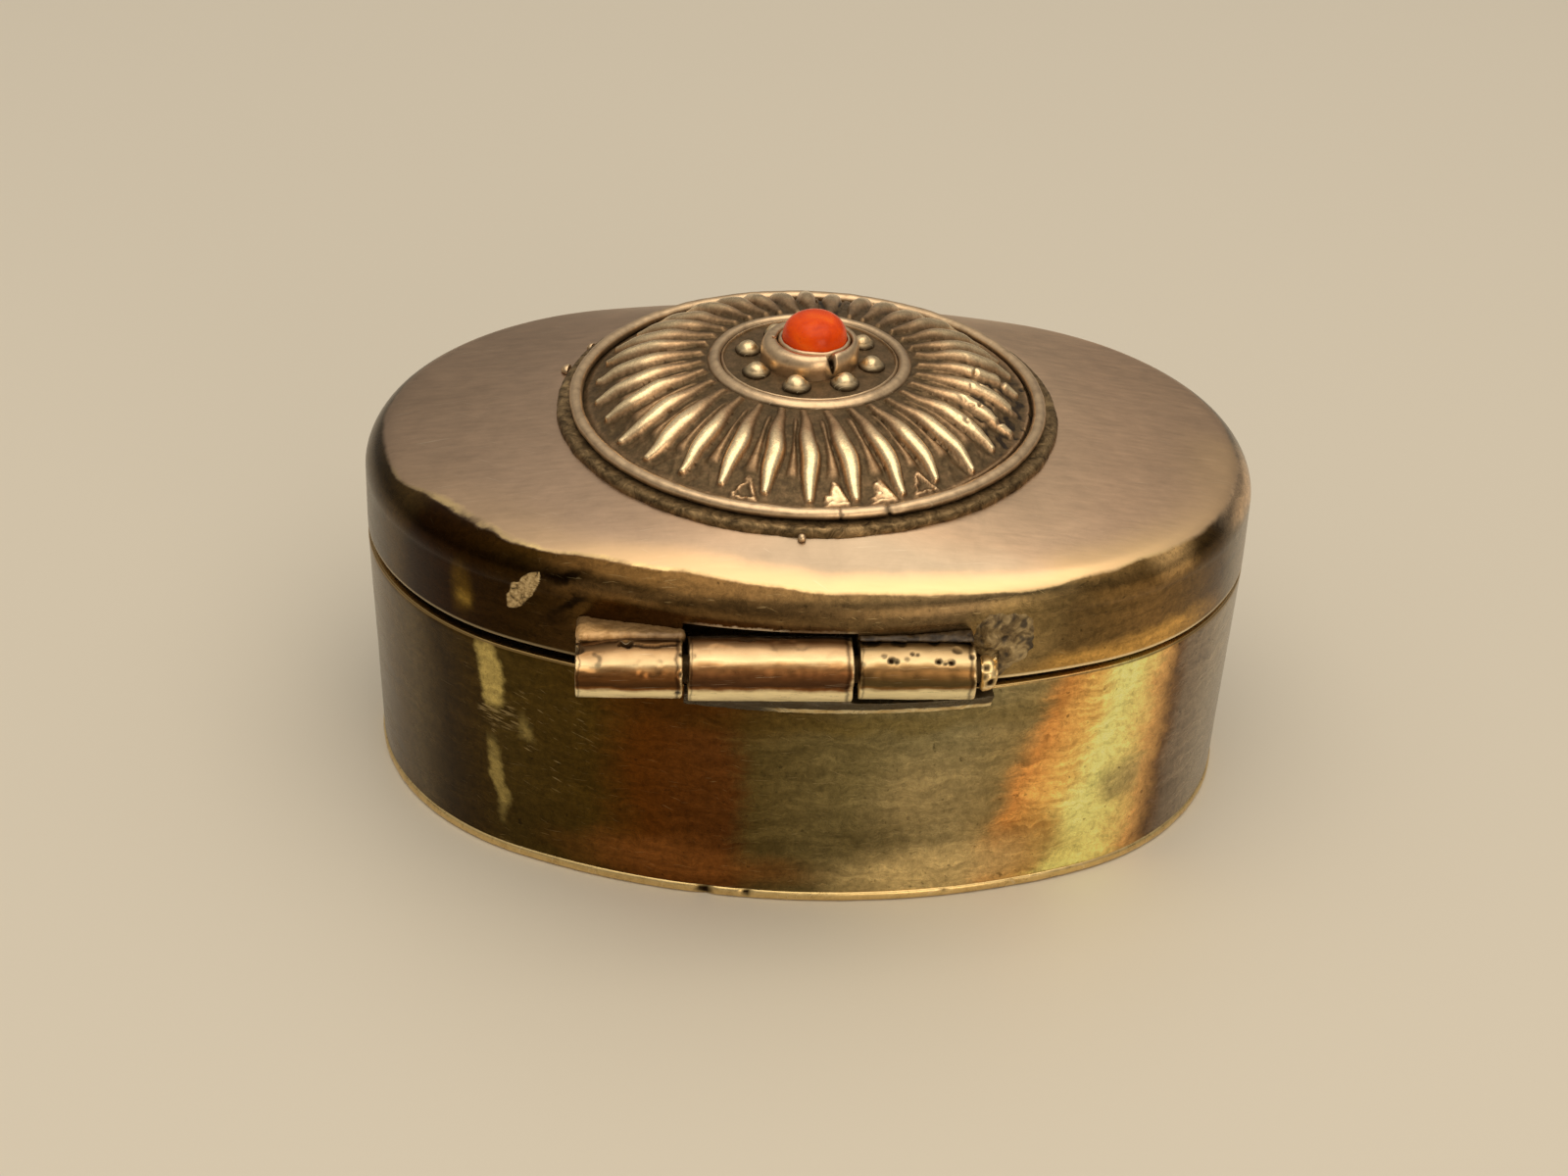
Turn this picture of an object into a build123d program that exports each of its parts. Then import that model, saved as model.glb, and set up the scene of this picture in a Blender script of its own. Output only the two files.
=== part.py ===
from build123d import *
import math
import os

os.makedirs("parts", exist_ok=True)

# Small oval silver box with a hinged, domed lid and a round repousse medallion on top.
# Millimetres. +X runs along the long axis, the hinge is on the -Y side, +Z is up.
# The origin is the middle of the underside, on the surface the box stands on.

# Oval outline, outside, at the seam between body and lid
boxLength = 55.0
boxWidth = 38.8
endRoundness = 0.889      # end arc radius as a share of the half width
sheet = 0.8               # silver sheet of the walls and the lid

# Body
seamHeight = 15.15        # table to the body's upper edge
baseThickness = 0.7
baseLip = 0.12            # how far the base plate stands out past the wall
baseEdgeRound = 0.28
endTaper = 0.55           # each end leans in this much towards the base
sideTaper = 0.2
edgeBevel = 0.15          # bright bevel on the body's upper edge

# Lid
seamGapRight = 0.3        # the lid sits a little open, more at the left end
seamGapLeft = 0.6
lidWallHeight = 4.4       # seam to the start of the rounded shoulder
shoulderRadius = 2.3
crownHeight = 8.1         # seam to the flat under the medallion
plateauMarginEnd = 0.55   # flat left round the medallion at the ends
plateOverhang = 0.25      # at the sides the medallion overhangs the flat

# Tube hinge
tubeRadius = 1.75
middleTubeRadius = 1.9    # the body's knuckle is a fatter piece of tube
pinRadius = 0.8
pinClearance = 0.05
moveGap = 0.3             # least gap between body and lid pieces
hingeOut = 0.6            # hinge axis outside the wall at mid length
hingeYaw = 3.0            # the hinge line is soldered on a little askew
leftKnuckleStart = -13.2
middleKnuckleStart = -6.8
rightKnuckleStart = 2.9
rightKnuckleEnd = 9.6
pinHeadRadius = 1.3
pinHeadLength = 1.05
windowHeadroom = 0.4      # lid wall is cut this far above the middle knuckle
bearerDrop = 1.45         # ledge under the hinge: height
bearerOut = 1.1           # and how far it stands out at the top
bearerRun = 1.4           # runs on past the right knuckle
saddleFront = 0.6         # solder on each lid knuckle starts this far before the axis
saddleLip = 1.5           # and this far above it
saddleFoot = 0.85
saddleRun = 4.4           # and runs back to the curving lid wall
leftSaddleTop = 1.6       # heights above the axis, over the tube and at the wall
leftSaddleEnd = 1.0
rightSaddleTop = 1.95
rightSaddleEnd = 2.2

# Medallion
medallionShift = -0.25    # soldered on a little off the middle
plateRadius = 15.45
plateThickness = 0.5
rimWireRadius = 0.38
rimWireInset = 1.2        # wire centre inside the plate's edge
domeSheet = 0.5
domeFootGap = 0.03
domeEdge = 0.1            # step at the dome's foot
domeRise = 2.85           # plate top to the dome's shoulder at the inner ring
fieldRise = 0.28          # shoulder to the middle of the field
fieldCrown = 0.06         # the field is very slightly domed
ringRadius = 5.82
ringWireRadius = 0.36
ringSeat = 0.12           # ring centre above the dome's shoulder
rayCount = 34
rayInner = 6.8
rayOuter = 13.1
rayHalfWidth = 0.54
rayRelief = 0.5
raySwirl = 4.5            # degrees the inner end trails the outer
rayHook = 1.2             # degrees the tip hooks back
rayCrowding = 7.6         # degrees: rays stand wider apart at the front
rayTurn = 1.5
granuleCount = 8
granuleCircle = 3.85
granuleRadius = 0.7
granuleSpread = 0.09      # the front ones are larger, the back ones smaller
granuleTurn = -11.6

# Stone and its setting
coralShift = 0.25         # the stone sits off the collar's middle
coralRadius = 2.0
coralDome = 1.65
coralSeat = 0.05
lipThickness = 0.18
lipRise = 1.45            # bezel lip above the field
lipCover = 0.12           # lip stands this far above the stone's widest line
fitGap = 0.03
collarRadius = 3.05
collarRise = 1.42
splitAngle = 20.0
splitWidth = 0.42
slitWidth = 0.12

# Solder left on the lid
patchStart = 9.9          # along the hinge side, past the right knuckle
patchLength = 4.2
patchHeight = 2.9
patchThickness = 0.3
beadRadius = 0.5
beadStep = 0.1            # each bead is this much smaller than the last
beadAngles = (-105, -118, -1)
beadReach = 0.1           # bead centres outside the plate's edge

halfLength = boxLength / 2
halfWidth = boxWidth / 2
endRadius = halfWidth * endRoundness
crownZ = seamHeight + crownHeight
springZ = seamHeight + lidWallHeight
middle = Pos(medallionShift, 0, 0)
stoneMiddle = Pos(medallionShift + coralShift, 0, 0)
hingeY = -halfWidth - hingeOut
hingeZ = seamHeight + moveGap + tubeRadius
plateTop = crownZ + plateThickness
shoulderR = ringRadius + ringWireRadius
shoulderZ = plateTop + domeRise
fieldZ = shoulderZ + fieldRise
wireCentre = plateRadius - rimWireInset
domeFoot = wireCentre - rimWireRadius - domeFootGap
middleKnuckleEnd = rightKnuckleStart - moveGap
leftKnuckleEnd = middleKnuckleStart - moveGap


# Face bounded by four tangent arcs: two ends, two sides
def ovalFace(a, b, r, z):
    c = a - r
    sideRadius = (c * c + b * b - r * r) / (2 * (b - r))
    ux = c / (sideRadius - r)
    uy = (sideRadius - b) / (sideRadius - r)
    tx = c + r * ux
    ty = r * uy
    arcs = [
        ThreePointArc((tx, -ty, z), (a, 0, z), (tx, ty, z)),
        ThreePointArc((tx, ty, z), (0, b, z), (-tx, ty, z)),
        ThreePointArc((-tx, ty, z), (-a, 0, z), (-tx, -ty, z)),
        ThreePointArc((-tx, -ty, z), (0, -b, z), (tx, -ty, z)),
    ]
    return make_face(Wire(arcs))


# Body outline at height z, moved outwards by grow
def bodyFace(z, grow=0.0):
    lean = 1 - z / seamHeight
    a = halfLength - endTaper * lean + grow
    b = halfWidth - sideTaper * lean + grow
    r = endRadius - sideTaper * lean + grow
    return ovalFace(a, b, r, z)


def lidFace(z, grow=0.0):
    return ovalFace(halfLength + grow, halfWidth + grow, endRadius + grow, z)


# Inset of the lid's surface at a height above the spring line, for a shoulder
# that rolls over into a straight slope reaching the given inset at the crown
def shoulderInset(rise, fullRise, fullInset):
    best = shoulderRadius
    for step in range(1, 90):
        turn = math.radians(step)
        topRise = shoulderRadius * math.sin(turn)
        topInset = shoulderRadius * (1 - math.cos(turn))
        slope = (fullRise - topRise) / max(fullInset - topInset, 0.01)
        if slope > math.tan(math.radians(90) - turn):
            best = topRise
            break
    if rise <= best:
        return shoulderRadius - math.sqrt(max(shoulderRadius ** 2 - rise ** 2, 0))
    start = shoulderRadius - math.sqrt(max(shoulderRadius ** 2 - best ** 2, 0))
    return start + (fullInset - start) * (rise - best) / (fullRise - best)


# Solid under the lid's crown, from the spring line up; wall > 0 gives the inside
def crownSolid(wall):
    fullRise = crownZ - springZ
    endInset = halfLength - plateRadius - plateauMarginEnd
    sideInset = halfWidth - plateRadius + plateOverhang
    faces = []
    for share in (0, 0.16, 0.32, 0.46, 0.55, 0.62, 0.72, 0.86, 1.0):
        rise = fullRise * share
        a = halfLength - shoulderInset(rise, fullRise, endInset)
        b = halfWidth - shoulderInset(rise, fullRise, sideInset)
        r = b - (halfWidth - endRadius) * (1 - 0.72 * share)
        drop = wall * math.sin(math.radians(90) * min(1, share / 0.62))
        faces.append(ovalFace(a - wall, b - wall, r - wall, springZ + rise - drop))
    return loft(faces, ruled=True)


# Place for things built along the hinge's own X axis
hingePlace = Location((0, hingeY, hingeZ), (0, 0, hingeYaw))


def hingeRod(radius, start, end):
    rod = Cylinder(radius, end - start, rotation=(0, 90, 0))
    return hingePlace * Pos((start + end) / 2, 0, 0) * rod


def hingeBlock(start, end, yLow, yHigh, zLow, zHigh):
    block = Box(end - start, yHigh - yLow, zHigh - zLow)
    place = Pos((start + end) / 2, (yLow + yHigh) / 2, (zLow + zHigh) / 2)
    return hingePlace * place * block


def hingePrism(start, end, points):
    outline = make_face(Polyline(*[(0, y, z) for y, z in points], close=True))
    return hingePlace * Pos(start, 0, 0) * extrude(outline, amount=end - start, dir=(1, 0, 0))


# Body: base plate and the wall that stands on it
basePlate = extrude(bodyFace(0, baseLip), amount=baseThickness)
rims = basePlate.edges().group_by(Axis.Z)
basePlate = fillet(rims[0] + rims[-1], baseEdgeRound)

bodyOuter = loft([bodyFace(baseThickness), bodyFace(seamHeight - edgeBevel),
                  lidFace(seamHeight, -edgeBevel)], ruled=True)
bodyInner = loft([bodyFace(baseThickness, -sheet), bodyFace(seamHeight, -sheet)], ruled=True)
bodyWall = bodyOuter - bodyInner

# Ledge on the body under the middle and right knuckles, with the solder that
# carries the middle knuckle
bearer = loft([bodyFace(seamHeight - bearerDrop, 0.05),
               lidFace(seamHeight, bearerOut)], ruled=True)
bearer -= loft([bodyFace(baseThickness), bodyFace(seamHeight - edgeBevel),
                lidFace(seamHeight, -edgeBevel)], ruled=True)
bearer &= hingeBlock(middleKnuckleStart - 0.2, rightKnuckleEnd + bearerRun,
                     -2 * tubeRadius, 2 * tubeRadius,
                     -tubeRadius - moveGap - bearerDrop, -tubeRadius - moveGap)
seat = hingeBlock(middleKnuckleStart, middleKnuckleEnd, -0.45, hingeOut + sheet,
                  -tubeRadius - moveGap, -0.5 * middleTubeRadius)
seat -= hingeRod(middleTubeRadius, leftKnuckleStart, rightKnuckleEnd)
hingeBearer = bearer + seat

# Hinge tube and pin
middleKnuckle = hingeRod(middleTubeRadius, middleKnuckleStart, middleKnuckleEnd)
middleKnuckle -= hingeRod(pinRadius, leftKnuckleStart, rightKnuckleEnd)
lidBore = pinRadius + pinClearance
leftKnuckle = hingeRod(tubeRadius, leftKnuckleStart, leftKnuckleEnd)
leftKnuckle -= hingeRod(lidBore, leftKnuckleStart, leftKnuckleEnd)
rightKnuckle = hingeRod(tubeRadius, rightKnuckleStart, rightKnuckleEnd)
rightKnuckle -= hingeRod(lidBore, rightKnuckleStart, rightKnuckleEnd)
headStart = rightKnuckleEnd + moveGap
hingePin = hingeRod(pinRadius, leftKnuckleStart + 0.15, headStart + 0.1)
hingePin += hingeRod(pinHeadRadius, headStart, headStart + pinHeadLength)

# Lid: wall, crown, slightly raking lower edge, window round the middle knuckle
lidOuter = extrude(lidFace(seamHeight), amount=springZ - seamHeight) + crownSolid(0)
lidInner = extrude(lidFace(seamHeight, -sheet), amount=springZ - seamHeight) + crownSolid(sheet)
lidShell = lidOuter - lidInner
rake = math.degrees(math.atan((seamGapLeft - seamGapRight) / boxLength))
gapMiddle = (seamGapLeft + seamGapRight) / 2
lowerCut = Box(2 * boxLength, 2 * boxWidth, lidWallHeight,
               align=(Align.CENTER, Align.CENTER, Align.MAX))
lidShell -= Pos(0, 0, seamHeight + gapMiddle) * Rot(0, rake, 0) * lowerCut
lidShell -= hingeBlock(middleKnuckleStart - moveGap, middleKnuckleEnd + moveGap,
                       -2 * tubeRadius, 2 * tubeRadius,
                       -2 * tubeRadius, middleTubeRadius + windowHeadroom)
lidShell -= hingeRod(tubeRadius, leftKnuckleStart, leftKnuckleEnd)
lidShell -= hingeRod(tubeRadius, rightKnuckleStart, rightKnuckleEnd)
headClear = hingeRod(pinHeadRadius + moveGap, rightKnuckleEnd, headStart + pinHeadLength + moveGap)
lidShell -= headClear


# Solder that fills the valley between a lid knuckle and the lid wall
def saddle(start, end, top, wallTop):
    block = hingePrism(start, end, [
        (-saddleFront, saddleLip), (saddleFront, top), (saddleRun, wallTop),
        (saddleRun, -saddleFoot), (saddleFront, -saddleFoot)])
    return block - hingeRod(tubeRadius, leftKnuckleStart, rightKnuckleEnd) - lidOuter


leftSaddle = saddle(leftKnuckleStart + 0.3, leftKnuckleEnd - fitGap, leftSaddleTop, leftSaddleEnd)
rightSaddle = saddle(rightKnuckleStart + fitGap, rightKnuckleEnd - 0.1, rightSaddleTop, rightSaddleEnd)

# Spilt solder on the lid wall past the right knuckle, clear of the pin's head
patchBand = extrude(lidFace(springZ - patchHeight, patchThickness), amount=patchHeight)
patchOutline = Pos(patchStart + patchLength / 2, springZ - patchHeight / 2) * Ellipse(
    patchLength / 2, patchHeight / 2)
solderPatch = patchBand & extrude(Plane.XZ * patchOutline, amount=halfWidth + 2)
solderPatch -= lidOuter
solderPatch -= headClear

# Medallion: base plate, wire round it, domed sheet with raised rays
medallionPlate = middle * Pos(0, 0, crownZ) * Cylinder(
    plateRadius, plateThickness, align=(Align.CENTER, Align.CENTER, Align.MIN))
rimWire = middle * Pos(0, 0, plateTop + rimWireRadius) * Torus(wireCentre, rimWireRadius)


# Revolved solid whose top follows the dome, raised or lowered by lift; it
# reaches down to the given floor
def domeSolid(lift, floor):
    span = domeFoot - shoulderR
    foot = plateTop + domeEdge + lift
    top = Spline(
        (domeFoot, 0, foot),
        (domeFoot - 0.11 * span, 0, plateTop + 0.16 * domeRise + lift),
        (domeFoot - 0.31 * span, 0, plateTop + 0.48 * domeRise + lift),
        (domeFoot - 0.55 * span, 0, plateTop + 0.77 * domeRise + lift),
        (domeFoot - 0.81 * span, 0, plateTop + 0.925 * domeRise + lift),
        (shoulderR, 0, shoulderZ + lift),
        (0.5 * shoulderR, 0, fieldZ - fieldCrown + lift),
        (0, 0, fieldZ + lift),
        tangents=((-1, 0, 0.05), (-1, 0, 0)))
    side = Polyline((0, 0, fieldZ + lift), (0, 0, floor), (domeFoot, 0, floor), (domeFoot, 0, foot))
    return middle * revolve(make_face(Wire(list(top.edges()) + list(side.edges()))), Axis.Z)


# One ray: a slim double curve in plan, narrow at both ends
def rayPrism(angle):
    left = []
    right = []
    for share in (0, 0.2, 0.42, 0.62, 0.82, 1.0):
        r = rayInner + (rayOuter - rayInner) * share
        swing = -raySwirl * (1 - share) ** 2 - rayHook * share ** 3
        half = rayHalfWidth * (0.34 + 0.66 * math.sin(math.pi * share ** 1.25) ** 1.1)
        turn = math.radians(angle + swing - 90)
        x = r * math.cos(turn)
        y = r * math.sin(turn)
        left.append((x - half * math.sin(turn), y + half * math.cos(turn)))
        right.append((x + half * math.sin(turn), y - half * math.cos(turn)))
    edges = [Spline(*left), Line(left[-1], right[-1]), Spline(*right), Line(left[0], right[0])]
    return middle * Pos(0, 0, plateTop) * extrude(make_face(Wire(edges)), amount=domeRise + 2)


domeFull = domeSolid(0, plateTop)
rayBand = domeSolid(rayRelief, plateTop)
rays = []
for index in range(rayCount):
    base = 360 * index / rayCount
    angle = base + rayTurn + rayCrowding * math.sin(math.radians(base))
    rays.append(rayPrism(angle) & rayBand)
domeHollow = middle * Pos(0, 0, plateTop) * Cylinder(
    domeFoot - domeSheet, domeRise + fieldRise, align=(Align.CENTER, Align.CENTER, Align.MIN))
medallionDome = domeFull + rays
medallionDome -= domeSolid(-domeSheet, plateTop - 1) & domeHollow

# Inner ring, granules, collar, bezel lip and coral, all standing on the field
innerRing = middle * Pos(0, 0, shoulderZ + ringSeat) * Torus(ringRadius, ringWireRadius)
innerRing -= domeFull
granules = []
for index in range(granuleCount):
    angle = math.radians(granuleTurn + 360 * index / granuleCount)
    radius = granuleRadius * (1 + granuleSpread * math.cos(angle))
    x = granuleCircle * math.sin(angle)
    y = -granuleCircle * math.cos(angle)
    granules.append((middle * Pos(x, y, fieldZ) * Sphere(radius) - domeFull).solid())
granuleSet = Compound(label="granules", children=granules)

lipInner = coralRadius + fitGap
lipOuter = lipInner + lipThickness
lipTop = fieldZ + lipRise
bore = lipOuter + fitGap
collarTop = fieldZ + collarRise
ridge = (bore + coralShift + collarRadius) / 2
collarFace = make_face(Plane.XZ * Polyline(
    (0, fieldZ - 1), (collarRadius, fieldZ - 1), (collarRadius, fieldZ + 0.55 * collarRise),
    ((ridge + collarRadius) / 2, fieldZ + 0.93 * collarRise), (ridge, collarTop),
    (0, collarTop), close=True))
bezelCollar = middle * revolve(collarFace, Axis.Z) - domeFull
bezelCollar -= stoneMiddle * Pos(0, 0, fieldZ) * Cylinder(bore, 2 * collarRise + 2)
split = Pos(0, -collarRadius, collarTop) * Rot(0, 45, 0) * Box(
    splitWidth * 1.6, collarRadius - ridge + 1.6, splitWidth * 1.6)
slit = Pos(0, -collarRadius, collarTop - 1.1) * Box(slitWidth, 2, 2)
bezelCollar -= middle * Rot(0, 0, splitAngle) * (split + slit)
lipFace = make_face(Plane.XZ * Polyline(
    (lipInner, fieldZ - 0.5), (lipOuter, fieldZ - 0.5), (lipOuter, lipTop - 0.1),
    (lipInner + 0.05, lipTop), (lipInner, lipTop), close=True))
bezelLip = stoneMiddle * revolve(lipFace, Axis.Z) - domeFull
waist = lipTop - lipCover
coralTop = waist + coralDome
coralSide = Polyline((0, coralTop), (0, fieldZ + coralSeat), (coralRadius - 0.1, fieldZ + coralSeat),
                     (coralRadius, waist))
coralCap = Spline((coralRadius, waist), (0.72 * coralRadius, waist + 0.7 * coralDome),
                  (0, coralTop), tangents=((0, 1, 0), (-1, 0, 0)))
coral = stoneMiddle * revolve(make_face(Plane.XZ * (coralSide + coralCap)), Axis.Z)

# Beads of solder left against the plate's edge on the lid
beads = []
for index, angle in enumerate(beadAngles):
    radius = beadRadius - beadStep * index
    x = (plateRadius + beadReach) * math.sin(math.radians(angle))
    y = -(plateRadius + beadReach) * math.cos(math.radians(angle))
    bead = middle * Pos(x, y, crownZ) * Sphere(radius) - medallionPlate - lidOuter
    beads.append(bead.solids().sort_by(SortBy.VOLUME)[-1])
beadSet = Compound(label="solder_beads", children=beads)

pieces = {
    "base_plate": basePlate,
    "body_wall": bodyWall,
    "hinge_bearer": hingeBearer,
    "middle_knuckle": middleKnuckle,
    "hinge_pin": hingePin,
    "lid_shell": lidShell,
    "left_knuckle": leftKnuckle,
    "right_knuckle": rightKnuckle,
    "left_saddle": leftSaddle,
    "right_saddle": rightSaddle,
    "solder_patch": solderPatch,
    "medallion_plate": medallionPlate,
    "rim_wire": rimWire,
    "medallion_dome": medallionDome,
    "inner_ring": innerRing,
    "granules": granuleSet,
    "bezel_collar": bezelCollar,
    "bezel_lip": bezelLip,
    "coral": coral,
    "solder_beads": beadSet,
}
for name, piece in pieces.items():
    export_step(piece, "parts/" + name + ".step")
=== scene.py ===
import math
import random

import bpy
import numpy as np
from mathutils import Matrix, Vector, noise


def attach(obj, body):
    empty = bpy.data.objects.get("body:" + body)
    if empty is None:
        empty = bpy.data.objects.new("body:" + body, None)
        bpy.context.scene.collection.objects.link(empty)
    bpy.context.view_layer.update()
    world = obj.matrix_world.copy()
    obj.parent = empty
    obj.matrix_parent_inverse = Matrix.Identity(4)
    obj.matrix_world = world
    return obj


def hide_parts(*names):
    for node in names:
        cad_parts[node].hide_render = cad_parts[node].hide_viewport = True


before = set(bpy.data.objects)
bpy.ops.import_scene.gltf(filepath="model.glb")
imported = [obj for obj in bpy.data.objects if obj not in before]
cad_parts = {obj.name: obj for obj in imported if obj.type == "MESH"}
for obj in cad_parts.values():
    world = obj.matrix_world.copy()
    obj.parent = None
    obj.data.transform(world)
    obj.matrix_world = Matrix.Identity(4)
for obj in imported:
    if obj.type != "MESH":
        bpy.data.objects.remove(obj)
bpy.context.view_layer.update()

# Small oval silver box with a hinged lid. Everything is modelled in millimetres,
# with the box standing on z = 0, and each finished piece is scaled to metres.

random.seed(11)

# Sizes that several pieces share
ovalBox = {
    "halfLength": 27.5,
    "halfWidth": 19.4,
    "endRadius": 17.25,
    "sheet": 0.8,
    "seamHeight": 15.15,
    "springHeight": 19.55,
    "crownHeight": 23.25,
    "steps": 640,            # points round the oval
}
outline = [ovalBox[k] for k in ("halfLength", "halfWidth", "endRadius")]
hinge = {
    "y": -20.0,
    "z": 17.2,
    "yaw": 3.0,
    "tubeRadius": 1.75,
    "middleRadius": 1.9,
    "columns": 112,          # faces round a tube
    "window": 2.02,          # the lid is cut this far above the pin's middle,
    "notch": 1.3,            # and this far round the pin's head
    "left": (-13.2, -7.1),
    "middle": (-6.8, 2.6),
    "right": (2.9, 9.6),
}
medallion = {
    "x": -0.25,
    "plateTop": 23.75,
    "fieldTop": 26.88,
}


# Small helpers
def linearColour(hexText, gain=1.0):
    channels = [int(hexText[k:k + 2], 16) / 255 for k in (0, 2, 4)]
    linear = [c / 12.92 if c <= 0.04045 else ((c + 0.055) / 1.055) ** 2.4 for c in channels]
    return [min(1.0, c * gain) for c in linear] + [1.0]


# The nodes of one material or world. An input is a number, a node, a socket or the
# hex text of a colour; places are in millimetres, read in space or on the surface.
class NodeNet:
    def __init__(self, owner, **constants):
        if isinstance(owner, str):
            owner = bpy.data.materials.new(owner)
        owner.use_nodes = True
        self.owner, self.tree = owner, owner.node_tree
        self.shader = self.tree.nodes.get("Principled BSDF") or self.tree.nodes["Background"]
        self.feed(self.shader, {key.replace("_", " "): value for key, value in constants.items()})

    def feed(self, node, links):
        for socket, value in links.items():
            if isinstance(value, str):
                value = linearColour(value)
            elif isinstance(value, bpy.types.Node):
                value = value.outputs[0]
            if isinstance(value, bpy.types.NodeSocket):
                self.tree.links.new(value, node.inputs[socket])
            else:
                node.inputs[socket].default_value = value
        return node

    def add(self, kind, links=None, **settings):
        node = self.tree.nodes.new("ShaderNode" + kind)
        for name, value in settings.items():
            setattr(node, name, value)
        return self.feed(node, links or {})

    def space(self):
        return self.stretch(self.add("TexCoord").outputs["Object"], 1000, 1000, 1000)

    def surface(self):
        return self.add("UVMap", uv_map="surface")

    def stretch(self, place, *scale):
        return self.add("Mapping", {"Vector": place, "Scale": scale})

    def axes(self, place):
        return self.add("SeparateXYZ", {"Vector": place}).outputs

    def painted(self, name):
        return self.add("Attribute", attribute_name=name).outputs["Fac"]

    def noise(self, place, scale, detail, roughness=0.5, distortion=0.0):
        return self.add("TexNoise", {"Vector": place, "Scale": scale, "Detail": detail,
                                     "Roughness": roughness, "Distortion": distortion})

    def remap(self, value, low, high, toLow=0.0, toHigh=1.0, kind="LINEAR"):
        return self.add("MapRange", {"Value": value, "From Min": low, "From Max": high,
                                     "To Min": toLow, "To Max": toHigh}, interpolation_type=kind)

    def fade(self, value, low, high, toHigh=1.0):
        return self.remap(value, low, high, 0.0, toHigh, "SMOOTHSTEP")

    # Colours at the stops' places, which run from low to high
    def ramp(self, value, stops, low=0.0, high=1.0, gain=1.0):
        if (low, high) != (0.0, 1.0):
            value = self.remap(value, low, high)
        node = self.add("ValToRGB", {"Fac": value})
        elements = node.color_ramp.elements
        elements.remove(elements[1])
        for index, (place, colour) in enumerate(stops):
            share = (place - low) / (high - low)
            if isinstance(colour, str):
                colour = linearColour(colour, gain)
            if index == 0:
                elements[0].position, elements[0].color = share, colour
            else:
                elements.new(share).color = colour
        return node

    # A number off a curve given as (place, value), values from 0 to 1.25
    def curve(self, value, points, low, high):
        greys = [(place, [v / 1.25] * 3 + [1]) for place, v in points]
        return self.times(self.ramp(value, greys, low, high), 1.25)

    def maths(self, operation, *values):
        return self.add("Math", dict(enumerate(values)), operation=operation)

    def times(self, first, second):
        return self.maths("MULTIPLY", first, second)

    def plus(self, base, value, factor):
        return self.maths("MULTIPLY_ADD", value, factor, base)

    def minus(self, first, second):
        return self.maths("SUBTRACT", first, second)

    def most(self, first, second):
        return self.maths("MAXIMUM", first, second)

    # The value pushed to both sides by a noise
    def wander(self, value, noise, size):
        return self.plus(value, self.minus(noise, 0.5), size)

    def mix(self, share, first, second, blend="MIX"):
        return self.add("MixRGB", {"Fac": share, "Color1": first, "Color2": second},
                        blend_type=blend)

    def shade(self, colour, value, low, high, dark, light):
        return self.mix(1.0, colour, self.remap(value, low, high, dark, light), "MULTIPLY")

    # Marks much longer than wide, at one angle: 1 on a mark, 0 beside it
    def scratches(self, place, angle, length, width, fewest, seed):
        local = self.add("Mapping", {
            "Vector": place, "Location": (seed * 13.7, seed * 9.1, seed * 4.3),
            "Rotation": (0, 0, math.radians(angle)), "Scale": (length, width, length)},
            vector_type="TEXTURE")
        return self.remap(self.noise(local, 1.0, 1.5), fewest, fewest + 0.06)

    # An ellipse on the surface map: 1 inside, fading out over its soft edge
    def patch(self, place, u, v, halfU, halfV, tilt, soft):
        local = self.add("Mapping", {
            "Vector": place, "Location": (u, v, 0), "Rotation": (0, 0, math.radians(tilt)),
            "Scale": (halfU, halfV, 1)}, vector_type="TEXTURE")
        away = self.add("VectorMath", {0: local}, operation="LENGTH").outputs["Value"]
        return self.fade(away, 1 + soft, 1 - soft)

    # Joins the shader's inputs; the relief is in thousandths of a millimetre
    def finish(self, colour, roughness, height, strength, relief, metallic=None):
        bump = self.add("Bump", {"Strength": strength, "Distance": relief * 1e-6,
                                 "Height": height})
        self.feed(self.shader, {"Base Color": colour, "Roughness": roughness, "Normal": bump})
        if metallic is not None:
            self.feed(self.shader, {"Metallic": metallic})
        return self.owner


def activate(piece):
    bpy.ops.object.select_all(action="DESELECT")
    piece.select_set(True)
    bpy.context.view_layer.objects.active = piece


def applyModifiers(piece):
    activate(piece)
    for modifier in list(piece.modifiers):
        bpy.ops.object.modifier_apply(modifier=modifier.name)


def readPoints(piece, kind="co"):
    points = np.empty(len(piece.data.vertices) * 3)
    piece.data.vertices.foreach_get(kind, points)
    return points.reshape(-1, 3)


def readNormals(piece):
    return readPoints(piece, "normal")


def writePoints(piece, points):
    piece.data.vertices.foreach_set("co", np.ascontiguousarray(points, dtype=np.float32).ravel())
    piece.data.update()


def writeValues(piece, name, values):
    layer = piece.data.attributes.get(name)
    if layer is None:
        layer = piece.data.attributes.new(name, "FLOAT", "POINT")
    layer.data.foreach_set("value", np.ascontiguousarray(values, dtype=np.float32))


def noiseAt(points, size, seed):
    shift = Vector((seed * 7.31, seed * 3.17, seed * 5.73))
    return np.array([noise.noise(Vector(p) / size + shift) for p in points])


# The same noise as a share from 0 to 1
def roughAt(points, size, seed):
    return 0.5 + 0.5 * noiseAt(points, size, seed)


def bell(value, middle, width):
    return np.exp(-((value - middle) / width) ** 2)


def smoothStep(low, high, value):
    share = np.clip((value - low) / (high - low), 0, 1)
    return share * share * (3 - 2 * share)


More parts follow.
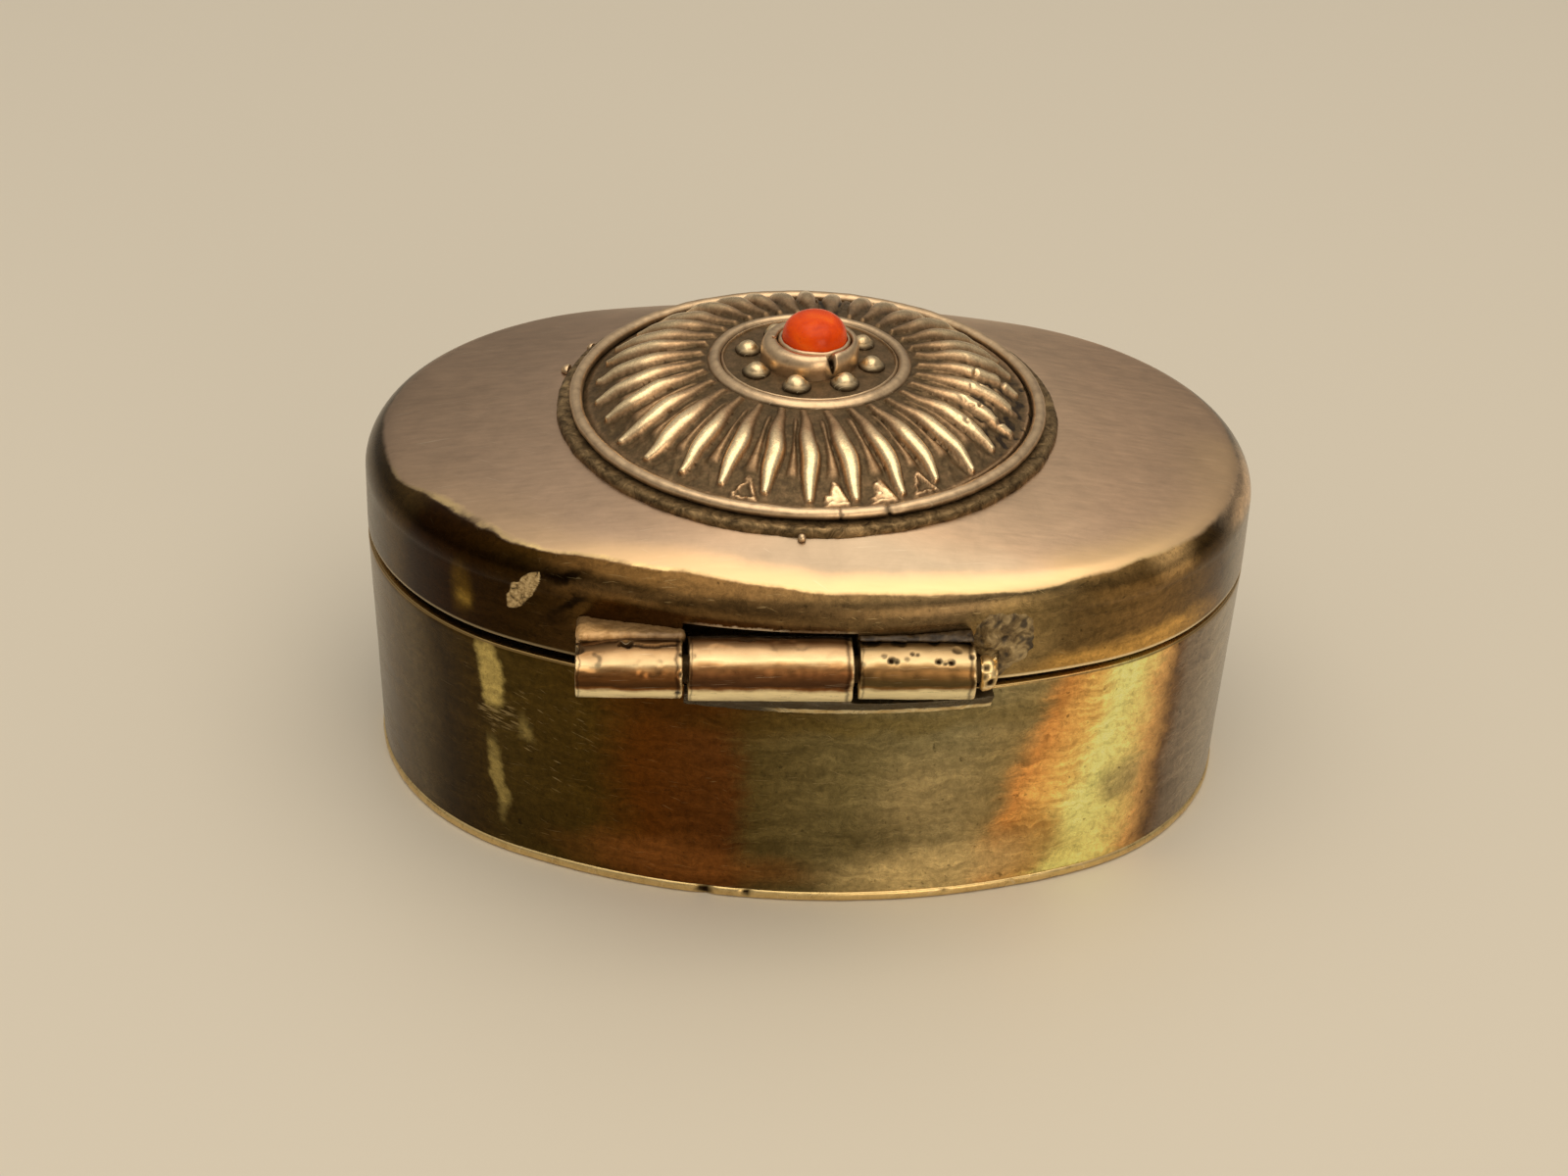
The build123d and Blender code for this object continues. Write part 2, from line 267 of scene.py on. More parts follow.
# A smooth curve through the points, read at x
def curveThrough(xs, ys, x):
    xs, ys = np.array(xs, float), np.array(ys, float)
    slopes = np.gradient(ys, xs)
    k = np.clip(np.searchsorted(xs, x) - 1, 0, len(xs) - 2)
    width = xs[k + 1] - xs[k]
    t = np.clip((x - xs[k]) / width, 0, 1)
    return (ys[k] * (1 + 2 * t) * (1 - t) ** 2 + slopes[k] * width * t * (1 - t) ** 2
            + ys[k + 1] * t * t * (3 - 2 * t) + slopes[k + 1] * width * t * t * (t - 1))


# A grid is added, then rolled up: place gives each column and row its point, and
# reach gives the surface map its millimetres along and up
def rolledGrid(name, columns, rows, place, reach=None):
    bpy.ops.object.select_all(action="DESELECT")
    bpy.ops.mesh.primitive_grid_add(x_subdivisions=columns, y_subdivisions=rows, size=1)
    piece = bpy.context.object
    piece.name = piece.data.name = name

    def cells(flat):
        return np.rint(flat[:, :2] * (columns, rows)).astype(int).T

    writePoints(piece, np.stack(place(*cells(readPoints(piece) + 0.5)), axis=1))
    layer = piece.data.uv_layers[0]
    layer.name = "surface"
    if reach:
        flat = np.empty(len(layer.data) * 2)
        layer.data.foreach_get("uv", flat)
        flat = np.stack(reach(*cells(flat.reshape(-1, 2))), axis=1)
        layer.data.foreach_set("uv", np.ascontiguousarray(flat, dtype=np.float32).ravel())
    closeMesh(piece)
    return piece


def closeMesh(piece):
    activate(piece)
    bpy.ops.object.mode_set(mode="EDIT")
    bpy.ops.mesh.select_all(action="SELECT")
    bpy.ops.mesh.remove_doubles(threshold=0.0005)
    bpy.ops.mesh.normals_make_consistent(inside=False)
    bpy.ops.object.mode_set(mode="OBJECT")


# Uneven hammering and handling: the surface only ever sinks, never swells
def sinkSurface(piece, depth, size, seed):
    points = readPoints(piece)
    lift = -depth * roughAt(points, size, seed)
    writePoints(piece, points + readNormals(piece) * lift[:, None])


# Dents and pits: (x, y, z, radius, depth, darkness). Darkness is kept as a value on
# the points.
def pressMarks(piece, marks):
    points = readPoints(piece)
    normals = readNormals(piece)
    grime = np.zeros(len(points))
    if "grime" in piece.data.attributes:
        piece.data.attributes["grime"].data.foreach_get("value", grime)
    ragged = noiseAt(points, 0.35, 3)
    for x, y, z, radius, depth, dirt in marks:
        away = np.linalg.norm(points - np.array((x, y, z)), axis=1) / radius + 0.25 * ragged
        share = 1 - smoothStep(0.45, 1.0, away)
        points -= normals * (share * depth)[:, None]
        grime = np.maximum(grime, share * dirt)
    writePoints(piece, points)
    writeValues(piece, "grime", grime)


def cutAway(piece, cutter):
    modifier = piece.modifiers.new("cut", "BOOLEAN")
    modifier.operation = "DIFFERENCE"
    modifier.solver = "EXACT"
    modifier.object = cutter
    applyModifiers(piece)
    bpy.data.objects.remove(cutter, do_unlink=True)


hingeMatrix = (Matrix.Translation((0, hinge["y"], hinge["z"]))
               @ Matrix.Rotation(math.radians(hinge["yaw"]), 4, "Z"))


# Finished: materials on, smooth, in metres, and riding on its body
def finishPiece(piece, body, nodes, materials, angle=38):
    for material in materials:
        piece.data.materials.append(material)
    activate(piece)
    bpy.ops.object.shade_smooth_by_angle(angle=math.radians(angle))
    piece.data.transform(Matrix.Scale(0.001, 4))
    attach(piece, body)
    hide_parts(*nodes)
    print("made", piece.name, len(piece.data.polygons), "faces")


# Camera and studio
cameraSetup = {
    "lens": 68.465,
    "distance": 190.62,
    "aimHeight": 10.58,
    "elevation": 31.36,
    "azimuth": -1.18,
    "roll": -2.59,
    "pan": 0.37,
    "tilt": -0.07,
}
studio = {
    "floor": "d8d1c4",
    "sky": [(0.0, "8f8a80"), (0.5, "7d776d"), (0.62, "8f897f"), (0.8, "bdb7ab"), (1.0, "f4ecdd")],
    "skyStrength": 1.0,
    "lampAim": (0, 0, 0.02),
    "lamps": [
        {"name": "softbox", "place": (0.03, -0.12, 0.5), "size": 0.6, "watts": 1.35,
         "colour": "fff0d8"},
        {"name": "window", "place": (0.2, -0.46, 0.13), "size": 0.22, "watts": 0.45,
         "colour": "ffe9cc"}],
}


def placeCamera(lens, distance, aimHeight, elevation, azimuth, roll, pan, tilt):
    elevation, azimuth, roll, pan, tilt = [
        math.radians(turn) for turn in (elevation, azimuth, roll, pan, tilt)]
    back = Vector((math.sin(azimuth) * math.cos(elevation),
                   -math.cos(azimuth) * math.cos(elevation), math.sin(elevation)))
    right = (-back).cross(Vector((0, 0, 1))).normalized()
    axes = [right, right.cross(-back), back]
    for k, turn in ((1, pan), (0, tilt), (2, -roll)):
        spin = Matrix.Rotation(turn, 3, axes[k])
        axes = [spin @ axis for axis in axes]
    lensData = bpy.data.cameras.new("camera")
    lensData.sensor_width = 36
    lensData.lens = lens
    lensData.clip_start = 0.01
    cameraObject = bpy.data.objects.new("camera", lensData)
    bpy.context.scene.collection.objects.link(cameraObject)
    place = Matrix(axes).transposed().to_4x4()
    place.translation = (Vector((0, 0, aimHeight)) + distance * back) * 0.001
    cameraObject.matrix_world = place
    bpy.context.scene.camera = cameraObject


def lightStudio(setup):
    bpy.ops.mesh.primitive_plane_add(size=4)
    floor = bpy.context.object
    floor.name = "floor"
    net = NodeNet("matt board", Roughness=0.45)
    grain = net.noise(net.add("TexCoord").outputs["Object"], 9.0, 3.0)
    tone = linearColour(setup["floor"])
    darker = [c * 0.985 for c in tone[:3]] + [1]
    net.feed(net.shader, {"Base Color": net.ramp(grain, [(0.3, darker), (0.7, tone)])})
    floor.data.materials.append(net.owner)
    world = bpy.data.worlds.new("studio")
    bpy.context.scene.world = world
    net = NodeNet(world, Strength=setup["skyStrength"])
    height = net.axes(net.add("TexCoord").outputs["Generated"])["Z"]
    net.feed(net.shader, {"Color": net.ramp(net.remap(height, -1.0, 1.0), setup["sky"])})
    for look in setup["lamps"]:
        lamp = bpy.data.lights.new(look["name"], "AREA")
        lamp.energy = look["watts"]
        lamp.shape = "SQUARE"
        lamp.size = look["size"]
        lamp.color = linearColour(look["colour"])[:3]
        holder = bpy.data.objects.new(look["name"], lamp)
        bpy.context.scene.collection.objects.link(holder)
        holder.location = look["place"]
        aim = Vector(setup["lampAim"]) - holder.location
        holder.rotation_euler = aim.to_track_quat("-Z", "Y").to_euler()


bpy.context.scene.view_settings.view_transform = "Standard"
placeCamera(**cameraSetup)
lightStudio(studio)
print("camera and studio are in place")


# Tarnish and painted reflections on the polished walls. The bands run from brown
# through olive to gold round the wall: partly the tarnish film's thickness, partly
# painted reflections, dark where the shaded floor would show and gold where lit
# surroundings would; long rubbing has drawn them out along the wall. Clouds and
# brushing are read in space, so they meet where the surface map ends.
def wallFilm(net, film, patches, scored, scuffs, warp, lean, rubbed, roughness, scratchShare,
             gain):
    place, solid = net.surface(), net.space()
    cloud = net.noise(solid, 0.3, 5.0, 0.6)
    shift = net.add("VectorMath", {0: cloud.outputs["Color"], 1: (0.5, 0.5, 0.5)},
                    operation="SUBTRACT")

    def bend(base, *amounts):
        return net.add("VectorMath", {0: shift, 1: amounts, 2: base}, operation="MULTIPLY_ADD")

    warped, bent = bend(place, warp, warp, 0), bend(solid, 0, 0, 2.6)
    rubbing = net.noise(net.stretch(bent, 0.2, 0.2, 1.9), 1.0, 7.0, 0.75)
    polish = net.noise(net.stretch(solid, 0.5, 0.5, 11.0), 1.0, 4.0, 0.6)
    along, up = net.axes(warped)[:2]
    leaning = net.minus(net.fade(along, 7.0, 13.0), net.fade(along, 15.0, 21.0, 0.8))
    along = net.plus(along, net.times(leaning, lean), net.minus(8.0, up))
    along = net.wander(along, rubbing, rubbed)
    colour = net.ramp(along, film, -75.3, 75.3, gain)
    for u, v, halfU, halfV, tilt, soft, tone, strength in patches:
        patch = net.times(net.patch(warped, u, v, halfU, halfV, tilt, soft), strength)
        colour = net.mix(patch, colour, linearColour(tone, gain))
    colour = net.shade(colour, rubbing, 0.28, 0.72, 0.66, 1.36)
    colour = net.shade(colour, net.noise(bent, 1.9, 7.0, 0.85), 0.32, 0.68, 0.58, 1.42)
    specks = net.remap(net.noise(solid, 2.4, 3.0), 0.66, 0.74, 0.0, 0.55)
    colour = net.mix(specks, colour, "1c1208")
    wavy = bend(place, 0, 0.7, 0)
    marks = net.most(net.scratches(wavy, 1.5, 2.2, 0.08, 0.71, 1),
                     net.most(net.scratches(wavy, -24, 1.3, 0.08, 0.735, 2),
                              net.scratches(wavy, 12, 1.8, 0.08, 0.73, 3)))
    marks = net.times(marks, net.curve(net.axes(place)["X"], scuffs, -76, 76))
    for u, v, halfU, halfV, tilt, fewest in scored:
        group = net.patch(warped, u, v, halfU, halfV, 0, 0.3)
        marks = net.most(marks, net.times(group, net.scratches(place, tilt, 1.2, 0.17, fewest, 5)))
    colour = net.mix(net.times(marks, scratchShare), colour, "d6bd8a")
    spread = net.remap(rubbing, 0.2, 0.8, roughness - 0.06, roughness + 0.1)
    height = net.plus(net.plus(rubbing, polish, 0.7), marks, -0.8)
    return place, warped, colour, net.plus(spread, marks, 0.15), height


# Colour bands are given as (place along the wall, colour), patches as (u, v, half
# length, half height, tilt, softness, colour, strength), scored groups as (u, v, half
# length, half height, tilt, threshold) and scuffs as (place, share). Bands and
# patches are tarnish together with painted reflections, glints and shade.
bodyFilm = {
    "film": [
        (-75, "6a5532"), (-62, "8b6c3c"), (-50, "4a3719"), (-41, "54462f"), (-36, "57462c"),
        (-30, "4b3b23"), (-26, "4d4029"), (-24.2, "3a2d17"), (-23.2, "2c200c"), (-20.6, "35270c"),
        (-18.3, "3d3012"), (-13, "40300f"), (-9.5, "4f2c0a"), (-4.6, "523114"), (-3.1, "4f4223"),
        (3, "665b3b"), (9, "7a7050"), (12.2, "85734c"), (14.2, "c2884a"), (16.8, "efb76a"),
        (18.6, "ffe090"), (20.6, "f9cf82"), (22.4, "c99d62"), (24, "64482a"), (25.2, "6f6050"),
        (29, "867a69"), (36, "7d715f"), (46, "55401f"), (60, "8d6f3e"), (75, "6a5532")],
    "patches": [
        (-19.4, 12.6, 0.85, 2.2, 4, 0.3, "a8965a", 0.9),
        (-17.0, 9.6, 0.4, 0.7, 12, 0.8, "8d7d4c", 0.6),
        (-19.2, 5.2, 0.6, 2.7, 0, 0.35, "8f7f4c", 0.8),
        (20.6, 6.6, 1.5, 1.4, 0, 0.6, "8d7f58", 0.75),
        (14.6, 3.0, 3.0, 2.4, 0, 0.5, "8a6334", 0.75),
        (-5.5, 13.4, 6.5, 1.6, 0, 0.6, "3b2408", 0.7),
        (8.5, 2.0, 5.5, 1.9, 4, 0.7, "c2ac7a", 0.85),
        (-7.0, 2.0, 6.5, 1.3, 0, 0.7, "7a4c22", 0.7),
        (8.0, 7.0, 3.0, 3.0, 0, 0.8, "93815a", 0.6),
        (4.5, 4.6, 3.0, 1.6, 10, 0.8, "4b4026", 0.5),
        (5.5, 12.9, 8.5, 0.7, 1, 0.7, "57481f", 0.5)],
    "scored": [(-16.4, 9.0, 3.6, 3.4, -20, 0.66), (-18.9, 10.2, 1.2, 0.9, -6, 0.52),
               (2, 8, 8, 4, 6, 0.72)],
    "scuffs": [(-76, 0.4), (-40, 0.4), (-25, 0.12), (-19, 0.8), (-8, 0.5), (0, 0.9), (10, 1.0),
               (24, 0.5), (27, 0.15), (40, 0.4), (76, 0.4)],
    "warp": 3.0,
    "lean": 0.36,
    "rubbed": 2.6,
    "roughness": 0.24,
    "scratchShare": 0.3,
    "gain": 1.35,
}
lidFilm = {
    "film": [
        (-75, "5f4a2a"), (-60, "7c6238"), (-48, "45331a"), (-38, "4a3a22"), (-31, "34250a"),
        (-27.5, "402f14"), (-25.6, "200f00"), (-22, "221202"), (-17, "281a06"), (-12, "3a2812"),
        (-8, "523c20"), (-3, "5e472a"), (3, "5c4a30"), (8, "5a4a33"), (12, "544831"),
        (17, "66502f"), (21, "6e5430"), (25, "5f4827"), (27.6, "49361f"), (29.2, "5f5343"),
        (32, "7d7060"), (38, "7d7263"), (48, "45331a"), (62, "7c6238"), (75, "5f4a2a")],
    "patches": [
        (-21.4, 18.0, 0.7, 1.4, 0, 0.9, "5f470f", 0.6),
        (-21.3, 17.4, 0.5, 0.5, 0, 0.9, "8f7433", 0.6),
        (-11.2, 18.9, 2.6, 1.2, 0, 0.7, "4c3617", 0.7),
        (-13.6, 20.6, 2.5, 0.24, 20, 0.5, "120a03", 0.85),
        (-13.4, 19.4, 1.6, 0.3, 33, 0.5, "120a03", 0.9),
        (-14.8, 18.1, 0.9, 0.5, 50, 0.7, "160c04", 0.5),
        (19.5, 16.1, 6.5, 0.9, 2, 0.7, "c09550", 0.8),
        (-9.5, 20.6, 4.0, 0.35, 6, 0.8, "7e5f38", 0.6),
        (11.8, 18.3, 2.7, 2.6, 0, 0.5, "7f6a44", 0.8),
        (10.2, 17.2, 1.0, 1.6, 0, 0.5, "2a1b0b", 0.8),
        (23.6, 21.3, 1.6, 1.0, 0, 0.7, "d0a870", 0.8),
        (26.9, 20.5, 1.7, 0.9, 0, 0.7, "3c2a0a", 0.75),
        (34.0, 21.6, 4.0, 1.6, 0, 0.5, "cbab88", 0.85)],
    "scored": [(-11, 20.5, 4.0, 0.7, 8, 0.66), (2, 20.6, 9, 0.9, 1, 0.66)],
    "scuffs": [(-76, 0.4), (-26, 0.1), (-20, 0.12), (-14, 0.5), (-8, 1.0), (12, 1.0), (22, 0.6),
               (27, 0.15), (76, 0.4)],
    "warp": 2.2,
    "lean": 0.0,
    "rubbed": 2.2,
    "roughness": 0.26,
    "scratchShare": 0.32,
    "gain": 1.35,
}

# Where the fold's painted highlight, golden glint and the painted shade above it
# lie and how strong they are, how high the fold line bows, and the painted
# highlight along the lower rim, in millimetres along the wall from the middle of
# the hinge side
foldLine = {
    "bow": [(-34, 0.7), (-30, 0.75), (-27, 1.25), (-25, 1.45), (-23, 1.38), (-20, 1.18),
            (-17, 1.08), (-13.4, 1.28), (-10.8, 1.38), (-5.2, 1.2), (1, 0.42), (11, 0.17),
            (15.3, 0.47), (20, 0.7), (27, 0.45), (34, 0.7)],
    "bright": [(-34, 0.0), (-24, 0.15), (-17, 0.4), (-6, 0.7), (3, 1.0), (23, 1.0), (27, 0.6),
               (31, 0.4), (37, 0.45), (40, 0.0)],
    "gold": [(-34, 0.0), (-29, 0.3), (-26, 0.6), (-20, 0.8), (-10, 0.9), (-5, 0.5), (22, 0.4),
             (26, 0.0)],
    "hollow": [(-16, 0.0), (-9, 0.35), (-3, 0.9), (1, 1.0), (8, 1.0), (12, 0.5), (16, 0.0)],
    "rim": [(-76, 0.4), (-30, 0.35), (-14, 0.25), (-12, 0.1), (10.5, 0.1), (12, 0.95), (24, 0.85),
            (28, 0.5), (76, 0.4)],
}


# Silver sheet under a tarnish film, its colour bands partly painted reflections:
# mirror-like, warm
def makeWallSilver():
    net = NodeNet("tarnished silver sheet", Metallic=1.0, Anisotropic=0.45,
                  Anisotropic_Rotation=0.25)
    place, warped, colour, roughness, height = wallFilm(net, **bodyFilm)
    # Painted highlight on the bevel and top edge of the wall
    top = net.remap(net.axes(place)["Y"], 14.93, 15.02)
    colour = net.mix(net.times(top, 0.7), colour, "a98c5c")
    return net.finish(colour, roughness, height, 0.5, 6)


# The same sheet on the lid: wall as the body's, a painted highlight along the
# fold, the top a soft satin from years of wiping
def makeLidSilver():
    net = NodeNet("satin silver sheet")
    place, warped, wall, wallRoughness, wallHeight = wallFilm(net, **lidFilm)
    inside = net.space()
    x, y, z = net.axes(inside)
    along, steady = net.axes(place)[:2]
    up = net.plus(steady, net.minus(net.axes(warped)["Y"], steady), 0.35)
    rise = net.minus(up, net.curve(along, foldLine["bow"], -34, 34))
    grain = net.noise(net.stretch(inside, 0.35, 3.0, 3.0), 1.0, 6.0, 0.7)
    # The satin is darker at the left end and lighter right of the middle: partly its own tone,
    # partly a painted light gradient across the top
    cloud = net.wander(x, net.noise(inside, 0.09, 4.0), 9.0)
    satin = net.ramp(cloud, [(-27.5, "a98f78"), (-13.75, "c3a68d"), (0, "c6a88c"), (11, "dcbd9e"),
                             (18.7, "d6b496"), (27.5, "c0a184")], -27.5, 27.5)
    smears = net.noise(inside, 0.35, 6.0, 0.7, 0.5)
    satin = net.shade(satin, net.maths("ADD", grain, smears), 0.65, 1.35, 0.84, 1.13)

    # The fold: a painted shade above it, a painted highlight along it, and a golden
    # painted glint on its lower edge
    hollow = net.curve(rise, [(22.3, 0.0), (22.7, 1.0), (25.0, 0.9), (26.6, 0.0)], 21, 27)
    hollow = net.times(hollow, net.curve(along, foldLine["hollow"], -20, 20))
    satin = net.mix(hollow, satin, (0.75, 0.84, 0.9, 1), "MULTIPLY")
    band = net.times(net.fade(rise, 23.0, 21.6), net.curve(along, foldLine["bright"], -40, 40))
    satin = net.mix(band, satin, "ecc898")
    gold = net.curve(rise, [(21.14, 0.0), (21.22, 0.9), (21.3, 0.9), (21.46, 0.0)], 21, 22)
    gold = net.times(gold, net.curve(along, foldLine["gold"], -40, 40))
    gold = net.times(gold, net.remap(smears, 0.4, 0.6, 0.15))
    onWall = net.fade(rise, 21.45, 21.05)
    colour = net.mix(gold, net.mix(onWall, satin, wall), "ffe0a0")

    # The scar's flake of solder, and painted highlights along the ragged edge over
    # the hinge and along the lid's lower rim
    crackle = net.noise(inside, 2.6, 5.0, 0.75)
    flake = net.remap(net.painted("flake"), 0.25, 0.6)
    colour = net.mix(flake, colour, net.ramp(crackle, [
        (0.36, "1e1408"), (0.44, "8d7448"), (0.56, "c2a878"), (0.7, "e0cda4")]))
    # Painted highlight along the ragged edge of the window over the hinge
    rag = net.wander(z, crackle, 0.5)
    lip = net.times(net.curve(rag, [(19.1, 0.0), (19.16, 0.9), (19.3, 0.9), (19.38, 0.0)], 18, 21),
                    net.curve(x, [(-7.2, 0.0), (-6.0, 0.6), (-4.2, 1.0), (-1.6, 0.9), (-0.8, 0.3),
                                  (2.4, 0.4), (2.9, 0.0)], -28, 28))
    lip = net.times(lip, net.maths("LESS_THAN", y, -15.0))
    colour = net.mix(lip, colour, "efe0c0")
    # Painted highlight along the lid's lower rim
    rim = net.times(net.remap(steady, 15.9, 15.78), net.curve(along, foldLine["rim"], -76, 76))
    colour = net.mix(rim, colour, "f2dcae")

    fine = net.most(net.scratches(inside, 8, 3.0, 0.1, 0.7, 4),
                    net.scratches(inside, -32, 2.0, 0.1, 0.71, 6))
    fine = net.times(fine, net.minus(1.0, onWall))
    colour = net.mix(net.times(fine, 0.18), colour, "efe0c4")
    roughness = net.mix(onWall, net.remap(grain, 0.3, 0.7, 0.33, 0.42), wallRoughness)
    roughness = net.mix(flake, roughness, (0.5, 0.5, 0.5, 1))
    metallic = net.plus(net.plus(1.0, flake, -0.6), net.most(rim, lip), -0.6)
    height = net.mix(onWall, net.plus(grain, fine, -0.5), wallHeight)
    height = net.plus(height, net.times(crackle, flake), 6.0)
    return net.finish(colour, roughness, height, 0.5, 7, metallic)


# Inside, the sheet was never polished: grey-white from the last pickling, stained
def makeInsideSilver():
    net = NodeNet("pickled silver", Metallic=1.0)
    place = net.space()
    stain = net.noise(place, 0.3, 5.0, 0.6)
    colour = net.ramp(stain, [(0.28, "7f6d50"), (0.45, "a2937b"), (0.6, "bfb39d"),
                              (0.75, "a8987c")])
    marks = net.scratches(place, 35, 4.0, 0.1, 0.66, 8)
    colour = net.mix(net.times(marks, 0.3), colour, "e6dcc8")
    height = net.plus(net.noise(place, 5.0, 3.0), marks, -0.5)
    return net.finish(colour, net.remap(stain, 0.0, 1.0, 0.55, 0.35), height, 0.4, 10)


# Chased sheet, blackened and rubbed back: sulphide stays in the hollows, the
# ridges show warm bright metal. Wear is a value on the points.
def makeOxidisedSilver():
    net = NodeNet("oxidised silver")
    place = net.space()
    patchy, grain = net.noise(place, 1.6, 5.0, 0.65), net.noise(place, 7.0, 4.0)
    uneven = net.wander(net.painted("wear"), patchy, 0.45)
    colour = net.ramp(uneven, [(0.0, "2c2014"), (0.16, "625037"), (0.34, "8e7356"), (0.6, "caa781"),
                               (0.95, "fbe0b4")])
    colour = net.shade(colour, grain, 0.35, 0.7, 0.82, 1.14)
    return net.finish(colour, net.remap(uneven, 0.1, 0.9, 0.58, 0.27), net.plus(grain, patchy, 0.6),
                      0.45, 20, net.remap(uneven, 0.0, 0.4, 0.55, 1.0))


# Wire, beads and tubes: bright where touched, brown in the pits. Grime and
# painted shade in creases and on the undersides are a value on the points.
def makeRubbedSilver(name, bright, dull, roughness, creased=0.5):
    net = NodeNet(name, Metallic=1.0)
    place, grime = net.space(), net.painted("grime")
    patchy = net.noise(place, 1.1, 6.0, 0.7)
    colour = net.ramp(patchy, [(0.3, dull), (0.55, bright), (0.75, dull)])
    colour = net.mix(grime, net.mix(creased, colour, bright), "2a1c0e")
    marks = net.scratches(place, 14, 1.8, 0.06, 0.66, 9)
    colour = net.mix(net.times(marks, 0.3), colour, "fff0cf")
    spread = net.remap(patchy, 0.3, 0.7, roughness - 0.05, roughness + 0.1)
    height = net.plus(net.noise(place, 6.0, 4.0), marks, -0.5)
    return net.finish(colour, net.plus(spread, grime, 0.3), height, 0.4, 12)


# Tube hinge: painted reflections and highlights round the tube, a dark band below
# the middle, a highlight above it and a bright line along the lowest edge. Places
# are degrees up from the front.
tubeFilm = [
    (-90, "8a6a40"), (-62, "e8cd90"), (-50, "fff0c0"), (-15, "fdeab4"), (-6, "7a4d24"),
    (0, "3a1f0b"), (8, "442813"), (22, "6b4322"), (31, "8f6339"), (39, "bd9464"), (47, "ead0a0"),
    (56, "cfb38a"), (66, "b39570"), (76, "8f6f4d"), (88, "6e5134"), (110, "5d4429"),
    (180, "6b5233")]


def makeTubeSilver(name, tint, tintShare, span, shift=0.0):
    net = NodeNet(name)
    place, grime = net.surface(), net.painted("grime")
    streak = net.noise(net.stretch(place, 0.45, 1.6, 1), 1.0, 6.0, 0.7)
    cloud = net.noise(place, 0.7, 3.0)
    along, turn = net.axes(place)[:2]
    turn = net.plus(shift, turn, 20.0)
    turn = net.wander(net.wander(turn, streak, 6.0), cloud, 16.0)
    colour = net.ramp(turn, tubeFilm, -90.0, 180.0)
    colour = net.mix(tintShare, colour, tint)
    colour = net.shade(colour, streak, 0.3, 0.7, 0.82, 1.1)

    # A painted shade line near each end of the tube and a painted highlight on its
    # end edge
    start, end = span
    wander = net.wander(along, cloud, 0.5)
    crease = net.curve(wander, [
        (start + 0.12, 0.0), (start + 0.2, 0.6), (start + 0.3, 0.0), (end - 0.5, 0.0),
        (end - 0.34, 0.75), (end - 0.2, 0.1)], start - 1, end + 1)
    colour = net.mix(crease, colour, "24160b")
    edge = net.curve(wander, [(start + 0.02, 0.4), (start + 0.12, 0.0), (end - 0.22, 0.0),
                              (end - 0.1, 0.7)], start - 1, end + 1)
    colour = net.mix(net.times(edge, net.remap(streak, 0.4, 0.6, 0.3)), colour, "f2d8a6")
    colour = net.mix(grime, colour, "24160b")
    marks = net.scratches(place, 3, 2.0, 0.07, 0.69, 10)
    colour = net.mix(net.times(marks, 0.25), colour, "fff0cf")
    # Less metal along the painted bright bottom line, so it lights up from below
    worn = net.curve(turn, [(-80, 0.0), (-60, 1.0), (-13, 1.0), (-5, 0.0)], -90, 180)
    worn = net.times(worn, net.remap(streak, 0.3, 0.6, 0.7))
    spread = net.plus(net.remap(streak, 0.3, 0.7, 0.24, 0.38), grime, 0.35)
    return net.finish(colour, spread, net.plus(streak, marks, -0.6), 0.4, 15,
                      net.remap(worn, 0.0, 1.0, 1.0, 0.2))


# Hard solder that was never filed back: lumpy, pitted, olive-grey to brass
def makeSolder(name, tones, roughness, scale, metallic=0.9):
    net = NodeNet(name, Metallic=metallic)
    place = net.space()
    lumps = net.noise(place, scale, 6.0, 0.7, 0.8)
    colour = net.ramp(lumps, [(0.3 + 0.42 * k / (len(tones) - 1), tone)
                              for k, tone in enumerate(tones)])
    colour = net.mix(net.painted("grime"), colour, "1c120a")
    pits = net.add("TexVoronoi", {"Vector": place, "Scale": scale * 2.2}).outputs["Distance"]
    spread = net.remap(lumps, 0.3, 0.7, roughness + 0.12, roughness - 0.08)
    return net.finish(colour, spread, net.plus(lumps, pits, 0.6), 0.6, 40)


# Red coral, tumbled to a cabochon: opaque, waxy, a soft gleam
def makeCoral():
    net = NodeNet("red coral", IOR=1.49, Specular_IOR_Level=0.22)
    place = net.space()
    cloud = net.noise(place, 0.8, 5.0, distortion=0.4)
    colour = net.ramp(cloud, [(0.32, "cf3d00"), (0.5, "e64c00"), (0.68, "f06008")])
    specks = net.noise(place, 6.0, 3.0)
    colour = net.mix(net.remap(specks, 0.64, 0.72, 0.0, 0.5), colour, "a82404")
    return net.finish(colour, net.remap(specks, 0.3, 0.7, 0.2, 0.3), specks, 0.3, 10)


# Sheet of the body and of the lid, and the sheet's unpolished inner side
wallSilver = makeWallSilver()
lidSilver = makeLidSilver()
insideSilver = makeInsideSilver()

# Sheet of the medallion's dome
oxidisedSilver = makeOxidisedSilver()

# Drawn wire and melted beads: brighter the more they stand out; last, the base's edge
wireSilver = makeRubbedSilver("rubbed silver wire", "e0c39f", "a18264", 0.33)
beadSilver = makeRubbedSilver("rubbed silver beads", "f4dbb2", "a08258", 0.32, 0.4)
pinSilver = makeRubbedSilver("hammered pin wire", "f3d59c", "94713c", 0.32, 0.5)
rimSilver = makeRubbedSilver("rubbed base rim", "e2c78d", "9a7a46", 0.28)

# Rolled tube, each length a little different in tone
leftTubeSilver = makeTubeSilver("hinge tube, left", "c79a62", 0.06, hinge["left"], 7.0)
middleTubeSilver = makeTubeSilver("hinge tube, middle", "c09a78", 0.06, hinge["middle"])
rightTubeSilver = makeTubeSilver("hinge tube, right", "9a9160", 0.18, hinge["right"])
